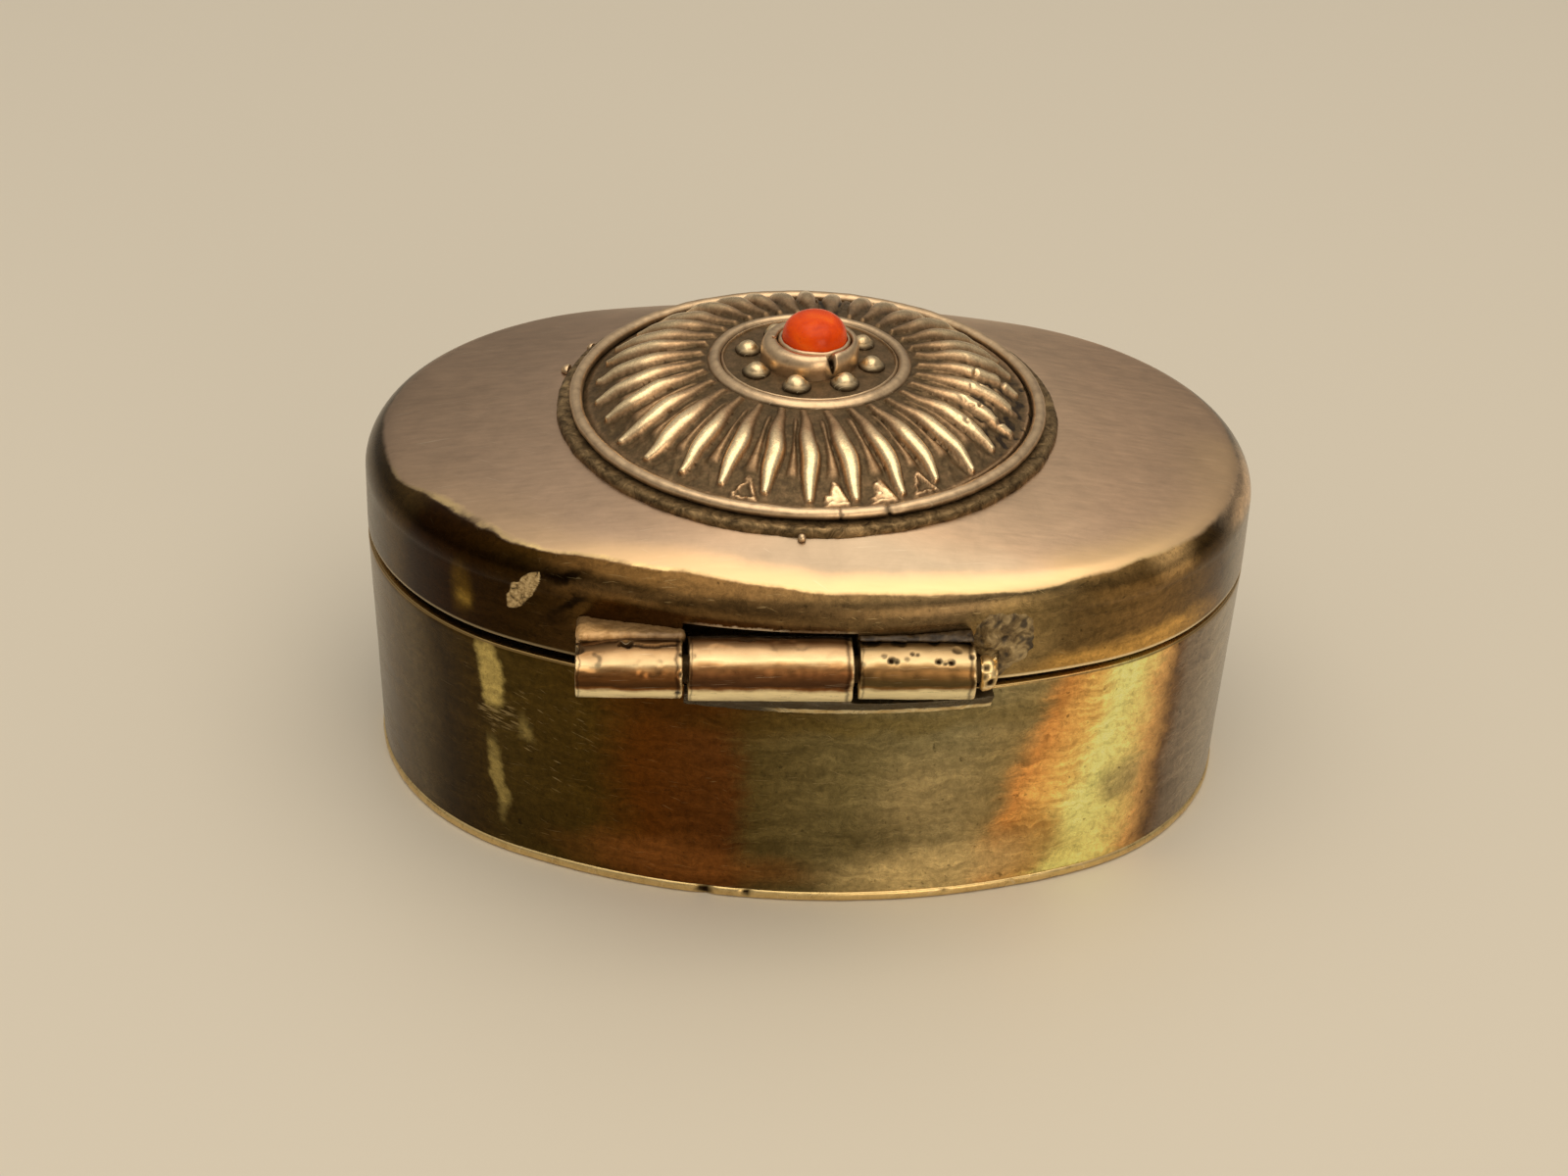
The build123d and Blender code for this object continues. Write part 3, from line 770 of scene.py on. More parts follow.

# Solder: brassy and dull beside the tubes, bright on the ledge for a painted
# highlight, grey and crumbly on the lid, burnt brown round the medallion
leftSolder = makeSolder("solder, left of the hinge",
                        ["866234", "bb8f57", "dcb077", "b58a54"], 0.42, 0.9, 0.12)
rightSolder = makeSolder("solder, right of the hinge",
                         ["33230f", "6b5230", "c8a36e", "ecd09e"], 0.42, 1.3, 0.2)
ledgeSolder = makeSolder("rubbed hinge ledge",
                         ["c9a868", "ecd096", "fff0c4", "e2c284"], 0.3, 0.9, 0.5)
wallSolder = makeSolder("solder on the lid",
                        ["2c1e0b", "665230", "9c865c", "bda578"], 0.5, 1.1, 0.3)
crust = makeSolder("burnt solder crust", ["33261a", "625036", "8c7452", "bd9f72"], 0.5, 1.3)

# Coral of the cabochon
coralStone = makeCoral()
print("materials are ready")


# The side arcs' radius, and the direction in which they meet the end arcs
def sideArc(a, b, r):
    sideRadius = ((a - r) ** 2 + b * b - r * r) / (2 * (b - r))
    return sideRadius, np.arctan2(sideRadius - b, a - r)


# The oval outline: two end arcs and two flatter side arcs, meeting smoothly. A
# point is named by the direction its surface faces.
def ovalPoints(facing, a, b, r):
    sideRadius, turn = sideArc(a, b, r)
    nx, ny = np.cos(facing), np.sin(facing)
    onEnd = np.abs(ny) <= np.sin(turn)
    x = np.where(onEnd, np.sign(nx) * (a - r) + r * nx, sideRadius * nx)
    y = np.where(onEnd, r * ny, sideRadius * ny - np.sign(ny) * (sideRadius - b))
    return x, y


# Even steps round the outline from the back, by the front, to the back again
def ovalSteps(a, b, r, steps):
    sideRadius, turn = sideArc(a, b, r)
    bounds = np.array([-1.5 * math.pi, -math.pi - turn, -math.pi + turn, -turn, turn,
                       0.5 * math.pi])
    radii = np.array([sideRadius, r, sideRadius, r, sideRadius])
    lengths = np.concatenate([[0], np.cumsum(np.diff(bounds) * radii)])
    along = np.linspace(0, lengths[-1], steps + 1)
    return np.interp(along, lengths, bounds), along - lengths[-1] / 2


facing, alongWall = ovalSteps(*outline, ovalBox["steps"])


# Rolls rows of (a, b, r, z) into an oval shell; lean is how much of the lid's
# raking lower edge a row follows, and scale shrinks a row towards a pole
def ovalShell(name, rows, ups, rake=None):
    table = np.array([row[:4] for row in rows])
    scale = np.array([row[4] if len(row) > 4 else 1.0 for row in rows])
    follow = np.array(rake if rake is not None else [0.0] * len(rows))

    def place(column, row):
        x, y = ovalPoints(facing[column], table[row, 0], table[row, 1], table[row, 2])
        x, y = x * scale[row], y * scale[row]
        z = table[row, 3] + follow[row] * (0.45 - 0.3 * x / 55)
        return x, y, z

    def reach(column, row):
        return alongWall[column], np.array(ups)[row]

    return rolledGrid(name, ovalBox["steps"], len(rows) - 1, place, reach)


# Faces that look inwards are the sheet's unpolished side
def paintInside(piece):
    for polygon in piece.data.polygons:
        inward = polygon.normal.x * polygon.center.x + polygon.normal.y * polygon.center.y
        under = polygon.normal.z < -0.4 and polygon.center.z > 17
        if under or inward < -0.5:
            polygon.material_index = 1


# Body wall: leans in slightly towards the base, a bevel round its upper edge with
# a painted highlight
bodyWall = {
    "foot": 0.7,
    "endTaper": 0.55,
    "sideTaper": 0.2,
    "bevel": 0.15,
    "ripple": 0.035,
    "pits": [(0.4, -19.4, 13.2, 0.42, 0.16, 1.0), (1.1, -19.4, 13.0, 0.22, 0.08, 0.8),
             (13.6, -17.2, 14.45, 0.16, 0.1, 0.9), (14.4, -17.0, 14.5, 0.14, 0.1, 0.9),
             (-14.0, -16.9, 11.8, 0.3, 0.05, 0.2), (11.5, -17.6, 3.9, 0.3, 0.04, 0.2)],
}


def makeBodyWall(foot, endTaper, sideTaper, bevel, ripple, pits):
    a, b, r = outline
    top, sheet = ovalBox["seamHeight"], ovalBox["sheet"]

    def level(z, inset):
        lean = 1 - z / top
        return (a - endTaper * lean - inset, b - sideTaper * lean - inset,
                r - sideTaper * lean - inset, z)

    heights = np.linspace(foot, top - bevel, 44)
    rows = [level(z, 0) for z in heights]
    rows += [level(top - 0.35 * bevel, 0.35 * bevel), level(top, bevel)]
    rows += [level(top, sheet - 0.05), level(top - 0.05, sheet)]
    rows += [level(z, sheet) for z in heights[-2::-6]]
    rows += [level(foot, sheet), level(foot, 0)]
    ups = [row[3] for row in rows]
    piece = ovalShell("body_silver", rows, ups)
    sinkSurface(piece, ripple, 5.0, 1)
    sinkSurface(piece, ripple * 0.4, 1.6, 2)
    pressMarks(piece, pits)
    paintInside(piece)
    finishPiece(piece, "body", ["body_wall"], [wallSilver, insideSilver])


# Base: a flat sheet soldered under the wall, its edge standing out a hair and
# rubbed bright, with a few nicks
baseSheet = {
    "thickness": 0.7,
    "corner": 0.28,
    "lip": 0.12,
    "nicks": [(-5.6, -19.2, 0.42, 0.75, 0.13, 1.0), (-3.0, -19.3, 0.5, 0.42, 0.12, 1.0),
              (9.0, -18.4, 0.5, 0.3, 0.08, 0.6), (-16.5, -16.2, 0.45, 0.3, 0.06, 0.5)],
}


def makeBase(thickness, corner, lip, nicks):
    a = ovalBox["halfLength"] - bodyWall["endTaper"] + lip
    b = ovalBox["halfWidth"] - bodyWall["sideTaper"] + lip
    r = ovalBox["endRadius"] - bodyWall["sideTaper"] + lip

    def level(inset, z):
        return a - inset, b - inset, r - inset, z

    arc = [(corner * (1 - math.sin(turn)), corner * (1 - math.cos(turn)))
           for turn in np.radians(range(0, 91, 15))]
    rows = [level(3, 0) + (k,) for k in (0.0, 0.5, 1.0)] + [level(1, 0)]
    rows += [level(inset, z) for inset, z in arc]
    rows += [level(inset, thickness - down) for down, inset in arc[1:]]
    rows += [level(1, thickness)] + [level(3, thickness) + (k,) for k in (1.0, 0.5, 0.0)]
    piece = ovalShell("base_rim", rows, [0.0] * len(rows))
    points = readPoints(piece)
    wear = 0.05 * roughAt(points, 2.2, 5) + 0.03 * roughAt(points, 0.7, 6)
    shrink = 1 - wear / np.maximum(np.linalg.norm(points[:, :2], axis=1), 1)
    points[:, :2] *= shrink[:, None]
    writePoints(piece, points)
    pressMarks(piece, nicks)
    finishPiece(piece, "body", ["base_plate"], [rimSilver])


makeBodyWall(**bodyWall)
makeBase(**baseSheet)
print("body is ready")

# Lid: upright wall, rolled shoulder, straight slope up to the flat under the
# medallion. Its inner side follows at the sheet's thickness.
lidShape = {
    "shoulderRadius": 2.3,
    "endInset": 11.5,
    "sideInset": 4.2,
    "ripple": 0.03,
    "scar": {"centre": (-16.55, -16.15, 19.35), "along": (0.55, -0.16, 0.82), "length": 1.95,
             "width": 0.72, "rise": 0.09},
}


def shoulderInset(rise, fullRise, fullInset):
    radius = lidShape["shoulderRadius"]
    roll = radius
    for step in range(1, 90):
        turn = math.radians(step)
        over = fullInset - radius * (1 - math.cos(turn))
        slope = (fullRise - radius * math.sin(turn)) / max(over, 0.01)
        if slope > math.tan(math.radians(90) - turn):
            roll = radius * math.sin(turn)
            break
    if rise <= roll:
        return radius - math.sqrt(max(radius ** 2 - rise ** 2, 0))
    start = radius - math.sqrt(max(radius ** 2 - roll ** 2, 0))
    return start + (fullInset - start) * (rise - roll) / (fullRise - roll)


def makeLid(shape):
    a, b, r = outline
    seam, spring, sheet = ovalBox["seamHeight"], ovalBox["springHeight"], ovalBox["sheet"]
    full = ovalBox["crownHeight"] - spring
    rows, ups, rake = [], [], []

    def add(row, up, follow=0.0):
        rows.append(row)
        ups.append(up)
        rake.append(follow)

    def crown(share, wall):
        rise = full * share
        endIn = shoulderInset(rise, full, shape["endInset"])
        sideIn = shoulderInset(rise, full, shape["sideInset"])
        narrow = (b - r) * (1 - 0.72 * share)
        drop = wall * math.sin(math.radians(90) * min(1, share / 0.62))
        return (a - endIn - wall, b - sideIn - wall, b - sideIn - narrow - wall,
                spring + rise - drop)

    top = crown(1.0, 0)
    under = crown(1.0, sheet)
    for k in (0.0, 0.33, 0.66, 1.0):
        add(under + (k,), 30)
    for share in np.linspace(0.95, 0.0, 16):
        add(crown(share, sheet), 26)
    for k in (0.75, 0.5, 0.25):
        add((a - sheet, b - sheet, r - sheet, seam + (spring - seam) * k), 16, 1 - k)
    add((a - sheet, b - sheet, r - sheet, seam), 15.2, 1)
    add((a - 0.12, b - 0.12, r - 0.12, seam), 15.45, 1)
    add((a - 0.04, b - 0.04, r - 0.04, seam + 0.05), 15.6, 1)
    for k in np.linspace(0, 1, 22):
        z = seam + 0.13 + (spring - seam - 0.13) * k
        add((a, b, r, z), z + 0.45 * (1 - k), 1 - k)
    reach = spring
    before = crown(0.0, 0)
    for share in np.linspace(0.0, 1.0, 50)[1:] ** 1.15:
        row = crown(share, 0)
        reach += math.hypot(row[1] - before[1], row[3] - before[3])
        before = row
        add(row, reach)
    for k in (0.85, 0.5, 0.0):
        add(top + (k,), reach + 2)
    piece = ovalShell("lid_silver", rows, ups, rake)
    sinkSurface(piece, shape["ripple"], 6.0, 3)
    sinkSurface(piece, shape["ripple"] * 0.3, 1.5, 4)
    addScar(piece, shape["scar"])
    cutHingeRoom(piece)
    paintInside(piece)
    finishPiece(piece, "lid", ["lid_shell"], [lidSilver, insideSilver])


# A leaf-shaped flake of old solder on the wall, left of the hinge
def addScar(piece, scar):
    points = readPoints(piece)
    normals = readNormals(piece)
    along = Vector(scar["along"]).normalized()
    offset = points - np.array(scar["centre"])
    down = offset @ np.array(along)
    away = np.linalg.norm(offset - down[:, None] * np.array(along), axis=1)
    width = scar["width"] * np.clip(1 - (down / scar["length"]) ** 2, 0, 1) ** 0.7
    ragged = noiseAt(points, 0.45, 9)
    inside = smoothStep(0.0, 0.22, width * (1 + 0.25 * ragged) - away)
    inside *= (np.abs(down) < scar["length"]) & (normals[:, 1] < 0)
    points += normals * (inside * (scar["rise"] * 0.4 + 0.05 * ragged) - inside * 0.03)[:, None]
    writePoints(piece, points)
    writeValues(piece, "flake", inside)


# A rod or, with a low and a high side, a block, placed along the hinge to cut with
def hingeCutter(start, end, size, low=0.0, high=0.0):
    bpy.ops.object.select_all(action="DESELECT")
    if low == high:
        bpy.ops.mesh.primitive_cylinder_add(vertices=96, radius=size, depth=end - start)
        shape = Matrix.Rotation(math.radians(90), 4, "Y")
    else:
        bpy.ops.mesh.primitive_cube_add(size=1)
        shape = Matrix.Diagonal((end - start, 2 * size, high - low, 1))
    cutter = bpy.context.object
    middle = Matrix.Translation(((start + end) / 2, 0, (low + high) / 2))
    cutter.data.transform(hingeMatrix @ middle @ shape)
    return cutter


# Room for the middle tube, beds for the outer two, and a notch for the pin's head
def cutHingeRoom(piece):
    left, right, clear = hinge["left"], hinge["right"], 3.5
    bed = hinge["tubeRadius"] - 0.04
    cutAway(piece, hingeCutter(left[1], right[0], clear, -clear, hinge["window"]))
    cutAway(piece, hingeCutter(left[0] + 0.05, left[1] + 0.1, bed))
    cutAway(piece, hingeCutter(right[0] - 0.1, right[1] - 0.05, bed))
    cutAway(piece, hingeCutter(right[1] - 0.02, right[1] + 1.5, hinge["notch"]))


makeLid(lidShape)
print("lid is ready")

# Hinge tubes: rolled from sheet, so the bore shows at the ends, with hammered
# dents, pits and a worn seam. Marks are (x, angle, radius, depth, darkness), the
# angle going up from the front; crushed places are (x, share, width), and a crack
# is (start, end, angle, sway).
hingeTubes = {
    "left": {
        "body": "lid", "silver": leftTubeSilver, "radius": hinge["tubeRadius"], "bore": 0.85,
        "crush": [(-13.2, 0.22, 1.6), (-7.1, 0.03, 0.8)],
        "crack": (-10.1, -7.4, 82, 3.5),
        "marks": [
            (-10.3, 89, 0.42, 0.32, 1.0), (-10.6, 83, 0.2, 0.18, 1.0),
            (-10.15, 80, 0.24, 0.16, 1.0), (-12.4, 48, 0.8, 0.09, 0.0),
            (-9.0, 40, 0.9, 0.06, 0.0), (-13.1, 84, 0.5, 0.2, 0.2),
            (-7.2, 60, 0.22, 0.08, 0.9), (-7.25, 20, 0.2, 0.08, 0.8), (-7.4, -25, 0.25, 0.1, 0.9)],
    },
    "middle": {
        "body": "body", "silver": middleTubeSilver, "radius": hinge["middleRadius"], "bore": 0.82,
        "crush": [(-6.8, 0.03, 0.7), (2.6, 0.03, 0.7)],
        "marks": [
            (-5.0, 60, 0.9, 0.05, 0.0), (-1.2, 72, 1.1, 0.06, 0.0), (1.6, 50, 0.7, 0.05, 0.0),
            (-0.6, 118, 0.24, 0.09, 0.6), (-3.4, 100, 0.5, 0.06, 0.1), (-6.6, 55, 0.3, 0.06, 0.2)],
    },
    "right": {
        "body": "lid", "silver": rightTubeSilver, "radius": hinge["tubeRadius"], "bore": 0.85,
        "crush": [(2.9, 0.05, 0.6), (9.6, 0.08, 0.8)],
        "marks": [
            (4.7, 49, 0.26, 0.13, 1.0), (5.0, 47, 0.2, 0.1, 0.9), (4.3, 58, 0.2, 0.06, 0.5),
            (5.9, 64, 0.15, 0.07, 0.8), (6.2, 62, 0.15, 0.07, 0.7), (5.6, 52, 0.2, 0.06, 0.5),
            (7.4, 47, 0.24, 0.13, 1.0), (7.75, 44, 0.16, 0.08, 0.8), (8.1, 46, 0.25, 0.13, 1.0),
            (9.3, 60, 0.2, 0.08, 0.7), (8.5, 74, 0.3, 0.08, 0.5), (5.2, 96, 0.5, 0.12, 0.5),
            (3.7, 100, 0.6, 0.12, 0.7), (7.2, 98, 0.4, 0.1, 0.3), (3.0, 40, 0.3, 0.06, 0.3)],
    },
}


# A round piece along the hinge, from its stations of (x, radius)
def rolledRod(name, stations, columns):
    table = np.array(stations)

    def place(column, row):
        turn = 2 * math.pi * column / columns - math.pi / 2
        x, r = table[row, 0], table[row, 1]
        return x, -r * np.cos(turn), r * np.sin(turn)

    def reach(column, row):
        return table[row, 0], (360 * column / columns - 90) / 20

    return rolledGrid(name, columns, len(stations) - 1, place, reach)


def makeTube(side, body, silver, radius, bore, crush, marks, crack=None):
    start, end = hinge[side]
    length, middle, halfway, edge = end - start, (start + end) / 2, (bore + radius) / 2, 0.12
    count = int(length / 0.09)
    stations = [(start, bore), (start, halfway), (start, radius - edge),
                (start + edge * 0.3, radius - edge * 0.3)]
    stations += [(start + edge + (length - 2 * edge) * k / count, radius) for k in range(count + 1)]
    stations += [(end - edge * 0.3, radius - edge * 0.3), (end, radius - edge), (end, halfway),
                 (end, bore), (middle, bore), (start, bore)]
    piece = rolledRod("hinge_tube_" + side, stations, hinge["columns"])
    local = readPoints(piece)
    sinkSurface(piece, 0.045, 1.5, 7)
    sinkSurface(piece, 0.02, 0.5, 8)
    if crack:
        low, high, angle, sway = crack
        marks += [(x, angle + sway * math.sin(2.3 * x) + math.sin(9.7 * x), 0.17, 0.07, 0.75)
                  for x in np.arange(low, high, 0.16)]
    pressMarks(piece, [(x, -radius * math.cos(math.radians(angle)),
                        radius * math.sin(math.radians(angle)), size, depth, dirt)
                       for x, angle, size, depth, dirt in marks])
    points = readPoints(piece)
    outer = np.hypot(local[:, 1], local[:, 2]) > bore + 0.1
    for x, share, width in crush:
        near = bell(points[:, 0], x, width) * outer
        points[:, 2] *= 1 - share * near * (points[:, 2] > 0)
        points[:, 1] *= 1 - 0.4 * share * near
    atEnds = np.abs(points[:, 0] - middle) > length / 2 - 0.3
    points[:, 0] = np.clip(points[:, 0] + 0.05 * noiseAt(points, 0.9, 12) * atEnds, start, end)
    writePoints(piece, points)
    piece.data.transform(hingeMatrix)
    finishPiece(piece, body, [side + "_knuckle"], [silver], 50)


for side, shape in hingeTubes.items():
    makeTube(side, **shape)

# Hinge pin: a wire hammered over at its right end into a lopsided knob
pinShape = {
    "radius": 0.8,
    "start": -13.05,
    "headRadius": 1.08,
    "headStart": 9.9,
    "headEnd": 10.95,
    "columns": 72,
    "marks": [(10.2, -0.75, 0.7, 0.4, 0.14, 1.0), (10.5, -1.0, -0.3, 0.42, 0.16, 1.0),
              (10.15, -1.0, 0.1, 0.25, 0.08, 0.8), (10.95, -0.3, 0.5, 0.4, 0.08, 0.5)],
}


def makePin(radius, start, headRadius, headStart, headEnd, columns, marks):
    dome = headStart + 0.3
    stations = [(start + 0.1, 0.0), (start + 0.1, radius - 0.15), (start + 0.2, radius),
                (-5, radius), (3, radius), (headStart, radius), (headStart, headRadius - 0.25),
                (headStart + 0.06, headRadius - 0.1), (headStart + 0.18, headRadius)]
    stations += [(dome + (headEnd - dome) * math.sin(turn), headRadius * math.cos(turn) ** 0.5)
                 for turn in np.radians(range(10, 91, 10))]
    piece = rolledRod("hinge_pin_wire", stations + [(headEnd, 0.0)], columns)
    points = readPoints(piece)
    head = points[:, 0] > headStart - 0.01
    points[:, 1:] *= (1 - 0.12 * roughAt(points, 0.7, 15) * head)[:, None]
    points[:, 2] -= 0.22 * head * (np.hypot(points[:, 1], points[:, 2]) > radius + 0.01)
    writePoints(piece, points)
    # Painted shade over the shaft, inside the tubes; the head stays clear
    writeValues(piece, "grime", 0.95 * (points[:, 0] < headStart + 0.02))
    pressMarks(piece, marks)
    piece.data.transform(hingeMatrix)
    finishPiece(piece, "body", ["hinge_pin"], [pinSilver], 50)


makePin(**pinShape)


# A copy of a CAD node's mesh in millimetres, remeshed fine and softened, so that
# solder looks melted rather than cut; then lumps and sunken spots
def meltedCopy(node, name, voxel, lump, seed, grow=0.0):
    bpy.ops.object.select_all(action="DESELECT")
    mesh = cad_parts[node].data.copy()
    mesh.materials.clear()
    piece = bpy.data.objects.new(name, mesh)
    mesh.name = name
    bpy.context.scene.collection.objects.link(piece)
    mesh.transform(Matrix.Scale(1000, 4))
    closeMesh(piece)
    remesh = piece.modifiers.new("remesh", "REMESH")
    remesh.mode = "VOXEL"
    remesh.voxel_size = voxel
    smooth = piece.modifiers.new("melt", "SMOOTH")
    smooth.iterations = 12
    applyModifiers(piece)
    points = readPoints(piece)
    lift = grow - lump * (roughAt(points, 0.8, seed) + 0.5 * noiseAt(points, 0.3, seed + 1))
    writePoints(piece, points + readNormals(piece) * lift[:, None])
    pits = noiseAt(points, 0.5, seed + 2)
    writeValues(piece, "grime", smoothStep(0.3, 0.6, pits) * 0.5)
    return piece


# Painted shade where the solder meets the lid's wall
def stainBack(piece, share):
    points = readPoints(piece)
    wall = -ovalBox["halfWidth"] + 0.0119 * points[:, 0] ** 2
    near = points[:, 1] - wall + 0.5 * noiseAt(points, 0.7, 61) + 0.25 * noiseAt(points, 0.25, 62)
    writeValues(piece, "grime", smoothStep(-2.4, -0.7, near) * share)


# Painted shadow everywhere but on one edge, which keeps a painted highlight
def blackenBeside(piece, low, high):
    points = readPoints(piece)
    level = points[:, 2] - (low + high) / 2 + 0.06 * noiseAt(points, 0.8, 31)
    away = np.abs(level) - (high - low) / 2
    away = np.maximum(away, 0.2 * smoothStep(0.0, -4.0, points[:, 0]))
    writeValues(piece, "grime", smoothStep(0.0, 0.15, away) * 0.92)


# Solder in the valleys between the outer tubes and the lid
for side, seed, grow, stained, solder in (("left", 21, 0.3, 0.7, leftSolder),
                                          ("right", 24, 0.1, 0.9, rightSolder)):
    saddle = meltedCopy(side + "_saddle", "solder_saddle_" + side, 0.09, 0.1, seed, grow)
    stainBack(saddle, stained)
    finishPiece(saddle, "lid", [side + "_saddle"], [solder], 60)

# Solder flooded over the lid's wall beside the pin and left as it froze: a ragged
# mound, its edge under the wall's surface
floodShape = {
    "along": 11.3,
    "height": 18.15,
    "halfLength": 2.25,
    "halfHeight": 2.35,
    "rise": 0.4,
    "sink": 0.2,
    "rings": 44,
    "columns": 132,
}


def makeFlood(along, height, halfLength, halfHeight, rise, sink, rings, columns):
    shoulder, end = lidShape["shoulderRadius"], hinge["right"][1]
    shares = np.concatenate([np.linspace(0, 1, rings), [0.97, 0.6, 0.0]])

    def place(column, row):
        turn = 2 * math.pi * column / columns
        share = shares[row]
        rim = np.stack([np.cos(turn), np.sin(turn), 0 * turn], axis=1)
        reach = share * (1 + 0.2 * noiseAt(rim, 0.7, 41) + 0.1 * noiseAt(rim, 0.22, 42))
        across = along + halfLength * reach * np.cos(turn)
        z = height + halfHeight * reach * np.sin(turn)
        over = np.clip(z - ovalBox["springHeight"], 0, shoulder - 0.1)
        inset = shoulder - np.sqrt(shoulder ** 2 - over ** 2)
        way = np.interp(across, alongWall, facing)
        flat = np.stack([across, z, 0 * z], axis=1)
        craggy = 0.62 + 0.5 * noiseAt(flat, 1.1, 43) + 0.4 * noiseAt(flat, 0.45, 44)
        mound = rise * (1 - share ** 3) * np.clip(craggy, 0.05, 1.3) - sink * share ** 6
        lift = np.where(row >= rings, -sink, mound) - inset
        x, y = ovalPoints(way, *outline)
        return x + lift * np.cos(way), y + lift * np.sin(way), z

    piece = rolledGrid("solder_patch_wall", columns, len(shares) - 1, place)
    rough = noiseAt(readPoints(piece), 0.55, 45)
    writeValues(piece, "grime", smoothStep(0.1, 0.45, rough) * 0.8)
    cutAway(piece, hingeCutter(end - 0.1, end + 1.5, hinge["notch"]))
    finishPiece(piece, "lid", ["solder_patch"], [wallSolder], 60)


makeFlood(**floodShape)

# The ledge under the hinge: a painted highlight along the edge between these two
# heights, painted shadow above and below it
ledgeEdge = (13.8, 14.2)
bearer = meltedCopy("hinge_bearer", "hinge_ledge", 0.08, 0.06, 30)
blackenBeside(bearer, *ledgeEdge)
finishPiece(bearer, "body", ["hinge_bearer"], [ledgeSolder], 60)

# Drops of solder left on the lid beside the medallion
beads = meltedCopy("solder_beads", "solder_drops", 0.05, 0.06, 33)
finishPiece(beads, "lid", ["solder_beads"], [wireSilver], 60)
print("hinge is ready")


# How far points lie from an upright axis at x, and their angle from the front
def polar(points, x):
    across, ahead = points[:, 0] - x, -points[:, 1]
    return np.hypot(across, ahead), np.degrees(np.arctan2(across, ahead))


# A turned piece from its section of (radius, height), round an upright axis at x;
# the axis and the swing, in degrees, may differ from row to row
def turnedPiece(name, section, x, columns, swing=0.0):
    radius, height = np.array(section).T
    axis = np.broadcast_to(x, radius.shape)
    swung = np.broadcast_to(np.radians(swing), radius.shape)

    def place(column, row):
        turn = 2 * math.pi * column / columns + swung[row]
        return axis[row] + radius[row] * np.sin(turn), -radius[row] * np.cos(turn), height[row]

    return rolledGrid(name, columns, len(section) - 1, place)


# Medallion plate: a disc soldered to the lid, its edge and the lid under it
# crusted with burnt flux, and its outline uneven
plateShape = {"radius": 15.45, "top": 23.75, "foot": 23.05, "inner": 12.9, "columns": 620}


def makePlate(radius, top, foot, inner, columns):
    middle, rim, face = medallion["x"], top - 0.16, top - 0.02
    section = [(inner, top - 0.45), (inner, face), (radius - 0.7, face), (radius - 0.25, face),
               (radius - 0.1, top - 0.06), (radius - 0.02, rim)]
    section += [(radius + 0.05 * math.sin(math.pi * k / 8), rim - (rim - foot) * k / 8)
                for k in range(1, 9)]
    section += [(radius - 0.35, foot - 0.02), (inner, foot + 0.2), (inner, top - 0.45)]
    piece = turnedPiece("medallion_base", section, middle, columns)
    points = readPoints(piece)
    reach = polar(points, middle)[0]
    edge = reach > radius - 0.3
    rough = noiseAt(points * np.array((1, 1, 0.4)), 1.8, 41) * 0.7 + noiseAt(points, 0.35, 42) * 0.3
    shrink = 1 - (0.08 + 0.12 * rough) / reach * edge
    points[:, 0] = middle + (points[:, 0] - middle) * shrink
    points[:, 1] *= shrink
    low = edge & (points[:, 2] < foot + 0.16)
    points[:, 2] += low * 0.12 * noiseAt(points * np.array((1, 1, 0)), 0.9, 43)
    writePoints(piece, points)
    finishPiece(piece, "lid", ["medallion_plate"], [crust], 60)


makePlate(**plateShape)

# Round wire soldered near the plate's edge, hammered uneven, its ends meeting at
# the front
wireShape = {"radius": 14.25, "thick": 0.47, "jointAt": 7.6, "nickAt": 19.0, "around": 20,
             "columns": 900}


def makeRimWire(radius, thick, jointAt, nickAt, around, columns):
    centre = medallion["plateTop"] + 0.34
    rolls = [2 * math.pi * k / around for k in range(around + 1)]
    section = [(radius - thick * math.cos(roll), centre + 0.92 * thick * math.sin(roll))
               for roll in rolls]
    piece = turnedPiece("rim_wire_ring", section, medallion["x"], columns)
    sinkSurface(piece, 0.09, 2.4, 45)
    sinkSurface(piece, 0.04, 0.6, 46)
    points = readPoints(piece)
    reach, turn = polar(points, medallion["x"])
    joint = bell(turn, jointAt, 0.28) * 0.07
    joint += bell(turn, nickAt + 1.6, 2.2) * 0.07 * (points[:, 2] > 24.2)
    nick = bell(turn, nickAt, 0.5) * 0.12
    writePoints(piece, points - readNormals(piece) * (joint + nick)[:, None])
    # Painted shade under the wire and along its inner edge; the joint and the nick are darker
    crease = smoothStep(24.25, 23.85, points[:, 2]) * 0.8
    crease = np.maximum(crease, smoothStep(13.95, 13.82, reach) * 0.7)
    writeValues(piece, "grime", np.clip(joint * 3 + nick * 5 + crease, 0, 1))
    finishPiece(piece, "lid", ["rim_wire"], [wireSilver], 60)


makeRimWire(**wireShape)

# Domed sheet, its rays raised from behind and sharpened from the front with a
# chasing tool. Each ray is struck by hand, so no two are quite alike.
domeShape = {
    "profile": ([0, 3.09, 6.18, 7.63, 9.63, 11.47, 13.0, 13.84],
                [26.88, 26.82, 26.60, 26.39, 25.94, 25.12, 24.21, 23.85]),
    "under": [(0.0, 26.3), (5.5, 26.05), (9.1, 25.4), (11.8, 24.4), (13.3, 23.76), (13.84, 23.76)],
    "columns": 800,
    "rays": 34,
    "inner": 6.45,
    "outer": 13.1,
    "halfWidth": 0.62,
    "relief": 0.58,
    "ragged": 0.16,
    "swirl": 4.5,
    "hook": 1.2,
    "crowding": 7.6,
    "turn": 1.5,
    "bright": {-15.4: 0.7, 5.2: 0.95, 14.8: 0.92, 26.8: 0.65, 37.0: 0.55},
    "broken": (64, 96),      # angles between which the rays are bruised and pitted
}


# 1 from b to c, fading out towards a and d
def window(value, a, b, c, d):
    return smoothStep(a, b, value) * (1 - smoothStep(c, d, value))


# Distance round the circle of radius r, over an angle in degrees
def arcLength(angle, r):
    return np.radians((angle + 180) % 360 - 180) * r


